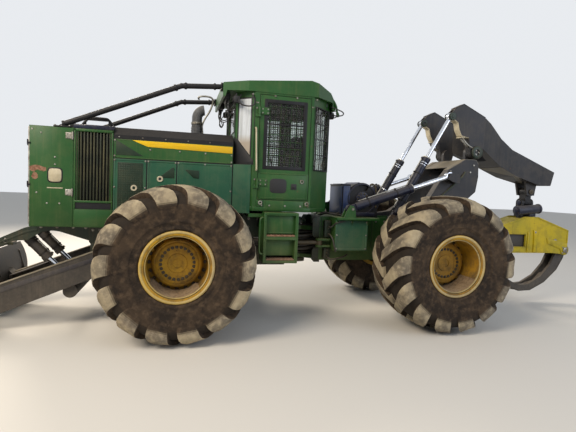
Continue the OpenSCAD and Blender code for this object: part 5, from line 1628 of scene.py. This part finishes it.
STEER_PINS = (-1050, 1150), (250, 1150)
for side, name in ((-1, "left"), (1, "right")):
    bm = bmesh.new()
    barrel_fittings(bm, *STEER_PINS, side * 430, 52, 800, 80)
    piece("steer_" + name + "_fittings", bm, BLACK_ENAMEL, "steer_" + name + "_barrel")
    bm = bmesh.new()
    gland(bm, *STEER_PINS, side * 430, 52, 30, 800, 80)
    piece("steer_" + name + "_gland", bm, GALVANISED, "steer_" + name + "_barrel", angle=50)

# %% Bright bands on the boom's cylinders
bm = bmesh.new()
start, end, across = CYLINDERS["boom_barrels"][:3]
start, axis, up = cylinder_line(start, end, -across)
for t in (560, 1050, 1090):
    ring(bm, [(61, -7), (66, -6), (66, 6), (61, 7)], start + axis * t, steps=48, axis=axis, out=up)
other_side(bm)
piece("boom_barrel_bands", bm, CHROME_ROD, "boom_barrels", angle=50)

# %% [markdown]
# ## Winch
# The winch sits behind the cab on the rear frame: a gearbox, a drum full of steel rope between two
# flanges, with round covers at its ends. The turns of rope are rings side by side, which look the same as a
# helix at this size and stay light.

# %% Rope on the drum
WINCH_X, WINCH_Z = 1000, 1860
ROPE_PITCH = 23.5
TURN = [(11 * math.cos(math.radians(a)), 11 * math.sin(math.radians(a))) for a in range(0, 360, 45)]
bm = bmesh.new()
for layer, count in ((0, 17), (1, 16)):
    for i in range(count):
        y = (i - (count - 1) / 2) * ROPE_PITCH
        ring(bm, [(141 + 20 * layer + r, y + along) for r, along in TURN], (WINCH_X, 0, WINCH_Z), steps=40)
piece("winch_rope", bm, WORN_STEEL, "rear", angle=60)

# %% Covers, box panels and fittings of the winch
bm = bmesh.new()
for side in (-1, 1):
    ring(bm, [(232, 0), (250, 0), (254, 5), (250, 11), (232, 11)], (WINCH_X, side * 305, WINCH_Z), steps=64,
         axis=(0, side, 0))
    for inner, outer, radius, sides, soft in ((304, 330, 112, 40, 7), (330, 342, 60, 32, 4)):
        rod(bm, (WINCH_X, side * inner, WINCH_Z), (WINCH_X, side * outer, WINCH_Z), radius, sides=sides,
            soft=soft)
    block(bm, (800, side * 312 - 6, 1580), (1230, side * 312 + 6, 1640), soft=4)
for y in (-180, -90, 0, 90, 180):
    block(bm, (664, y - 8, 2086), (786, y + 8, 2098), soft=3)
block(bm, (652, -306, 2070), (798, 306, 2092), soft=6)
piece("winch_covers", bm, NAVY_ENAMEL, "rear", angle=40)

bm = bmesh.new()
pressed_sheet(bm, (668, -311, 1600), (782, -301, 2060), border=22, depth=4)
pressed_sheet(bm, (668, 301, 1600), (782, 311, 2060), border=22, depth=4)
block(bm, (650, -280, 1610), (660, 280, 2050), soft=4)
plate(bm, [(860, 2064), (960, 2116), (952, 2132), (850, 2078)], -279, 279, soft=3)
piece("winch_box_panels", bm, STEEL_BLUE_ENAMEL, "rear")

bm = bmesh.new()
for side in (-1, 1):
    bolt_circle(bm, (WINCH_X, side * 330, WINCH_Z), (0, side, 0), 88, 10, across=18)
    for x in (780, 1250):
        bolt(bm, (x, side * 306, 1740), (0, side, 0), across=24, height=10)
    tube(bm, [(x, side * 262, z) for x, z in ((1150, 2090), (1190, 2108), (1240, 2076), (1262, 1990),
                                              (1246, 1900))], 15)
piece("winch_fittings", bm, OILY_BOLT, "rear", angle=60)

# %% [markdown]
# ## Arch and boom
# Two flat legs and a cross member make the arch, and two deep arms that run together into one box make
# the boom. Both are charcoal, worn bare at pins and edges. The pins get collars and bolts, the hooked
# ears of the boom a worn pale liner, and pale hoses loop down from small tabs to the pivots.

# %% Arch plates and pins
BOOM_PIN, BOOM_EYE = (2950, 2720), (2460, 3290)
ARM_Y, ARM_HALF = 430, 68
bm = bmesh.new()
block(bm, (2766, -424, 2588), (2954, 424, 2598), soft=3)
for y in (-ARM_Y, ARM_Y):
    plate(bm, [(2760, 2588), (2960, 2588), (3008, 2520), (3016, 2524), (2966, 2598), (2756, 2598),
               (2436, 2408), (2440, 2398)], y - ARM_HALF, y + ARM_HALF, soft=2)
plate(bm, [(2540, 2448), (2766, 2582), (2766, 2594), (2540, 2460)], -364, 364, soft=2)
piece("arch_top_wear", bm, DUSTY_ENAMEL, "arch_set")

bm = bmesh.new()
for (x, z), r, y in ((ARCH_PIN, 96, -502), (BOOM_PIN, 74, -516)):
    ring(bm, [(r - 26, 0), (r, 0), (r + 4, -5), (r, -10), (r - 26, -10)], (x, y, z), steps=48)
tube(bm, [(2760, -506, 2380), (2700, -516, 2300), (2630, -518, 2230), (2540, -514, 2150),
          (2440, -506, 2060)], 17)
tube(bm, [(2440, -506, 2060), (2330, -512, 1960), (2220, -512, 1830), (2130, -512, 1680),
          (2080, -508, 1560)], 12)
other_side(bm)
piece("arch_pin_rings", bm, FRAME_ENAMEL, "arch_set", angle=50)

ARCH_BOLTS = [(2480, 2380), (2560, 2290), (2660, 2240), (2860, 2380), (2920, 2500), (1500, 1500),
              (1580, 1450)]
bm = bmesh.new()
for side in (-1, 1):
    bolt_circle(bm, (BOOM_PIN[0], side * 516, BOOM_PIN[1]), (0, side, 0), 40, 3, across=20)
    for x, z in ARCH_BOLTS:
        bolt(bm, (x, side * 501, z), (0, side, 0), across=20, height=8)
piece("arch_bolts", bm, ZINC_BOLT, "arch_set")

bm = bmesh.new()
for x, z in ((2985, 2130), (2900, 2440)):
    rod(bm, (x + 10, -352, z - 60), (x + 10, 352, z - 60), 34, sides=28, soft=5)
    for y in (-330, 330):
        block(bm, (x - 30, y - 14, z - 100), (x + 34, y + 14, z - 2), soft=5)
piece("fairlead_rollers", bm, WORN_STEEL, "arch_set", angle=50)

# %% Boom ears, liners and pin bosses
HOOK = [(2484, 3248), (2572, 3196), (2600, 3080), (2652, 2986), (2790, 2960)]


def strip_outline(points, thick):
    """A strip of even thickness on the lower left of a line of (x, z) points."""
    away = []
    for i, point in enumerate(points):
        before, after = Vector(points[max(i - 1, 0)]), Vector(points[min(i + 1, len(points) - 1)])
        along = (after - before).normalized()
        away.append((point[0] + along.y * thick, point[1] - along.x * thick))
    return list(points) + away[::-1]


bm = bmesh.new()
plate(bm, strip_outline(HOOK, 9), -497, -363, soft=2)
block(bm, (2640, -500, 2950), (2716, -360, 2966), soft=4)
other_side(bm)
piece("boom_ear_liners", bm, PALE_ENAMEL, "boom_set")

EYE_BOSS = [(28, 4), (28, -5), (58, -7), (64, -3), (64, 4)]
bm = bmesh.new()
for y, inwards in ((-500, 1), (-362, -1)):
    ring(bm, [(r, inwards * along) for r, along in EYE_BOSS], (BOOM_EYE[0], y, BOOM_EYE[1]), steps=40)
rod(bm, (BOOM_EYE[0], -494, BOOM_EYE[1]), (BOOM_EYE[0], -510, BOOM_EYE[1]), 30, sides=28, soft=4)
ring(bm, [(50, 4), (50, -8), (100, -10), (106, -4), (106, 4)], (BOOM_PIN[0], -526, BOOM_PIN[1]), steps=56)
other_side(bm)
piece("boom_pin_bosses", bm, FRAME_ENAMEL, "boom_set", angle=50)

bm = bmesh.new()
for y in (-482, -430):
    tube(bm, [(2668, y, 2968), (2684, y - 4, 2935), (2712, y - 12, 2900), (2748, y - 16, 2862),
              (2790, y - 16, 2830), (2840, y - 14, 2806), (2890, y - 10, 2786)], 13)
tube(bm, [(2560, -440, 3230), (2600, -446, 3170), (2630, -446, 3080), (2668, -446, 2976)], 12)
other_side(bm)
piece("boom_hoses", bm, GALVANISED, "boom_set", angle=60)

# %% Boom skins: dusty underside, top flange and ribs
def slope(line, x):
    """The height of a line of (x, z) points at x."""
    for (x0, z0), (x1, z1) in zip(line, line[1:]):
        if x0 <= x <= x1:
            return z0 + (z1 - z0) * (x - x0) / (x1 - x0)
    return line[0][1] if x < line[0][0] else line[-1][1]


BOOM_TOP = [(2512, 3425), (2660, 3500), (3260, 3235), (3870, 2840), (4920, 2490)]
BOOM_FOOT = [(3570, 2549), (4010, 2370), (4580, 2232), (4850, 2240)]
bm = bmesh.new()
plate(bm, [(3640, -288), (4010, -264), (4580, -210), (4840, -186), (4840, 186), (4580, 210), (4010, 264),
           (3640, 288)], -5, 2, plane="xy")
for v in bm.verts:
    v.co.z += slope(BOOM_FOOT, v.co.x)
piece("boom_underside", bm, DUSTY_ENAMEL, "boom_set")

bm = bmesh.new()
for y in (-ARM_Y, ARM_Y):
    outline = strip_outline([(3090, 3310), (2660, 3500), (2512, 3425)], 12)
    plate(bm, outline, y - ARM_HALF, y + ARM_HALF, soft=2)
for x in (3900, 4200, 4500, 4800):
    half = 290 - (x - 3600) * 0.089
    block(bm, (x - 7, -half, slope(BOOM_TOP, x) - 6), (x + 7, half, slope(BOOM_TOP, x) + 7), soft=3)
plate(bm, [(4786, 2258), (4846, 2244), (4914, 2484), (4880, 2498)], -182, 182, soft=3)
piece("boom_top_plates", bm, BOOM_ENAMEL, "boom_set")

# %% [markdown]
# ## Grapple
# The yellow head hangs on a two-way joint and turns on a motor. Its sides carry welded ribs and doubling
# plates round the tong pins, which have lost their paint on the edges. The tongs are black, with a
# wider strip along their outer edge.

# %% Joint above the head
HEAD_X, TIP_Z, PIN_Z = 4470, 2110, 1030
bm = bmesh.new()
for side in (-1, 1):
    rod(bm, (HEAD_X, side * 141, TIP_Z), (HEAD_X, side * 152, TIP_Z), 48, sides=32, soft=4)
    bolt(bm, (HEAD_X, side * 150, TIP_Z), (0, side, 0), across=30, height=10)
piece("tip_pin_caps", bm, OILY_BOLT, "crosshead_link")

bm = bmesh.new()
rod(bm, (4130, -205, 1752), (4600, -205, 1800), 84, sides=40, soft=8)
rod(bm, (4112, -205, 1750), (4140, -205, 1753), 92, sides=40, soft=6)
rod(bm, (4570, -205, 1797), (4606, -205, 1801), 92, sides=40, soft=6)
rod(bm, (4094, -205, 1748), (4116, -205, 1750), 46, sides=28, soft=4)
block(bm, (4400, -215, 1650), (4540, -100, 1740), soft=8)
for way in (-1, 1):
    rod(bm, (HEAD_X + way * 124, 0, 1900), (HEAD_X + way * 138, 0, 1900), 50, sides=32, soft=4)
    bolt(bm, (HEAD_X + way * 126, way * 12, 1668), (way, 0, 0), across=28, height=9)
bolt_circle(bm, (HEAD_X, 0, 1700), UP, 96, 8, across=20)
tube(bm, [(4180, -140, 1760), (4170, -90, 1800), (4230, -30, 1790), (4330, 20, 1730), (4352, 60, 1690)], 13)
tube(bm, [(4560, -140, 1800), (4620, -90, 1830), (4640, 0, 1800), (4610, 50, 1720)], 13)
piece("swing_damper", bm, NAVY_ENAMEL, "swing_frame", angle=50)

# %% Ribs and doubling plates of the head
TONG_PIN_REACH = 800


def from_head(way, points):
    """Points that are counted from the head's middle, towards the front where way is -1."""
    return [(HEAD_X + way * a, b) for a, b in points]


bm = bmesh.new()
for way, inner_end in ((-1, 500), (1, 370)):
    doubling = [(inner_end, 1256), (700, 1186), (850, 1156), (868, 1030), (800, 936), (726, 960), (690, 1050),
                (inner_end + 20, 1150)]
    plate(bm, from_head(way, doubling), -219, -204, soft=4)
    plate(bm, from_head(way, [(150, 1645), (860, 1410), (860, 1384), (150, 1616)]), -214, -204, soft=3)
    plate(bm, from_head(way, [(860, 1400), (860, 1160), (836, 1170), (836, 1404)]), -214, -204, soft=3)
plate(bm, [(4404, 1363), (4440, 1363), (4430, 980), (4396, 980)], -222, -204, soft=4)
plate(bm, [(4520, 1400), (4640, 1380), (4610, 1300), (4606, 980), (4540, 980), (4536, 1300)], -226, -204,
      soft=4)
block(bm, (4010, -213, 972), (4930, -204, 992), soft=3)
frame_bars(bm, (4000, 1085), (4360, 1315), 16, -204, -214, soft=3)
other_side(bm)
piece("grapple_ribs", bm, YELLOW_ENAMEL, "head")

bm = bmesh.new()
for way in (-1, 1):
    x = HEAD_X + way * TONG_PIN_REACH
    rod(bm, (x, -218, PIN_Z), (x, -236, PIN_Z), 52, sides=32, soft=5)
    bolt_circle(bm, (x, -219, PIN_Z), (0, -1, 0), 74, 4, across=18, turn=45)
    x = HEAD_X + way * 560
    rod(bm, (x, -204, 1200), (x, -218, 1200), 40, sides=28, soft=4)
bolt(bm, (4561, -224, 1360), (0, -1, 0), across=24, height=9)
other_side(bm)
bolt_circle(bm, (HEAD_X, 0, 1564), UP, 140, 10, across=18)
piece("grapple_pins", bm, ZINC_BOLT, "head")

bm = bmesh.new()
for side in (-1, 1):
    tube(bm, [(4580, side * 130, 1470), (4640, side * 150, 1440), (4700, side * 140, 1360),
              (4690, side * 100, 1280), (4620, side * 60, 1268)], 13)
    tube(bm, [(4380, side * 130, 1470), (4240, side * 150, 1450), (4080, side * 140, 1360),
              (3990, side * 100, 1280), (3970, side * 60, 1268)], 13)
block(bm, (3920, -150, 1120), (3990, 150, 1280), soft=10)
# Dark sheets inside the head's window openings: painted shade of the hollow inside.
for side in (-1, 1):
    block(bm, (3985, side * 160 - 6, 1070), (4375, side * 160 + 6, 1330), soft=3)
piece("grapple_hoses_and_window_shade", bm, HOSE_RUBBER, "head", angle=60)

# %% Tongs: strips along the outer edge, and pin rings
# Outer edge of a tong, counted from its pin
TONG_OUT = [(110, 0), (80, -160), (-60, -400), (-330, -640), (-640, -790), (-900, -800), (-1180, -700),
            (-1350, -480)]
TONG_HALF = 31
# Columns: body, side of the head, places of its sheets across, reach of its pin rings
for body, way, sheets, reach in (("tong_front_leaf", -1, (0,), 158), ("tong_rear_leaf", 1, (-90, 90), 113)):
    bm = bmesh.new()
    edge = [(HEAD_X + way * (TONG_PIN_REACH + a), PIN_Z + b) for a, b in TONG_OUT]
    inner = [(HEAD_X + way * (TONG_PIN_REACH + a * 0.985 - 8), PIN_Z + b + 14) for a, b in TONG_OUT]
    for y in sheets:
        plate(bm, edge + inner[::-1], y - TONG_HALF, y + TONG_HALF, soft=3)
    piece(body + "_edges", bm, BLACK_ENAMEL, body)
    bm = bmesh.new()
    for side in (-1, 1):
        ring(bm, [(40, 0), (76, 0), (80, side * 5), (76, side * 10), (40, side * 10)],
             (HEAD_X + way * TONG_PIN_REACH, side * reach, PIN_Z), steps=40)
    piece(body + "_pin_rings", bm, OILY_BOLT, body, angle=50)

# %% [markdown]
# ## Blade
# The stacking blade is curved plate with a hardened edge bolted along its foot. Its arms are dusty on top
# and dark below, and carry small gussets next to the blade.

# %% Cutting edge, bolts and arm plates
bm = bmesh.new()
block(bm, (-4624, -1448, 32), (-4592, 1448, 104), soft=4)
piece("cutting_edge", bm, WORN_STEEL, "blade_set")

bm = bmesh.new()
for i in range(16):
    bolt(bm, (-4623, -1350 + i * 180, 68), (-1, 0, 0), across=26, height=6)
for y in (-660, -740, 660, 740):
    bolt(bm, (-4440, y, 560 if abs(y) < 700 else 548), (0.3, 0, 1), across=22, height=8)
for side in (-1, 1):
    bolt_circle(bm, (BLADE_PIN[0], side * 772, BLADE_PIN[1]), (0, side, 0), 118, 8, across=20)
    for x, z in ((-4300, 420), (-4300, 220), (-4180, 460), (-4180, 260)):
        bolt(bm, (x, side * 756, z), (0, side, 0), across=22, height=9)
piece("blade_bolts", bm, OILY_BOLT, "blade_set")

ARM_TOP = [(-4380, 490), (-2450, 1232)]
bm = bmesh.new()
plate(bm, [(-4366, 493), (-2590, 1176), (-2590, 1190), (-4366, 507)], -764, -636, soft=3)
other_side(bm)
piece("arm_top_plates", bm, DUSTY_ENAMEL, "blade_set")

bm = bmesh.new()
plate(bm, [(-4378, -648), (-4378, -444), (-3960, -444), (-3700, -648)], -14, 0, plane="xy", soft=2)
for v in bm.verts:
    v.co.z += slope(ARM_TOP, v.co.x) - 8
plate(bm, [(-4360, 150), (-4360, 470), (-2960, 960), (-2960, 900), (-4300, 420), (-4300, 168)], -759, -752,
      soft=2)
other_side(bm)
piece("arm_gussets", bm, NAVY_ENAMEL, "blade_set")
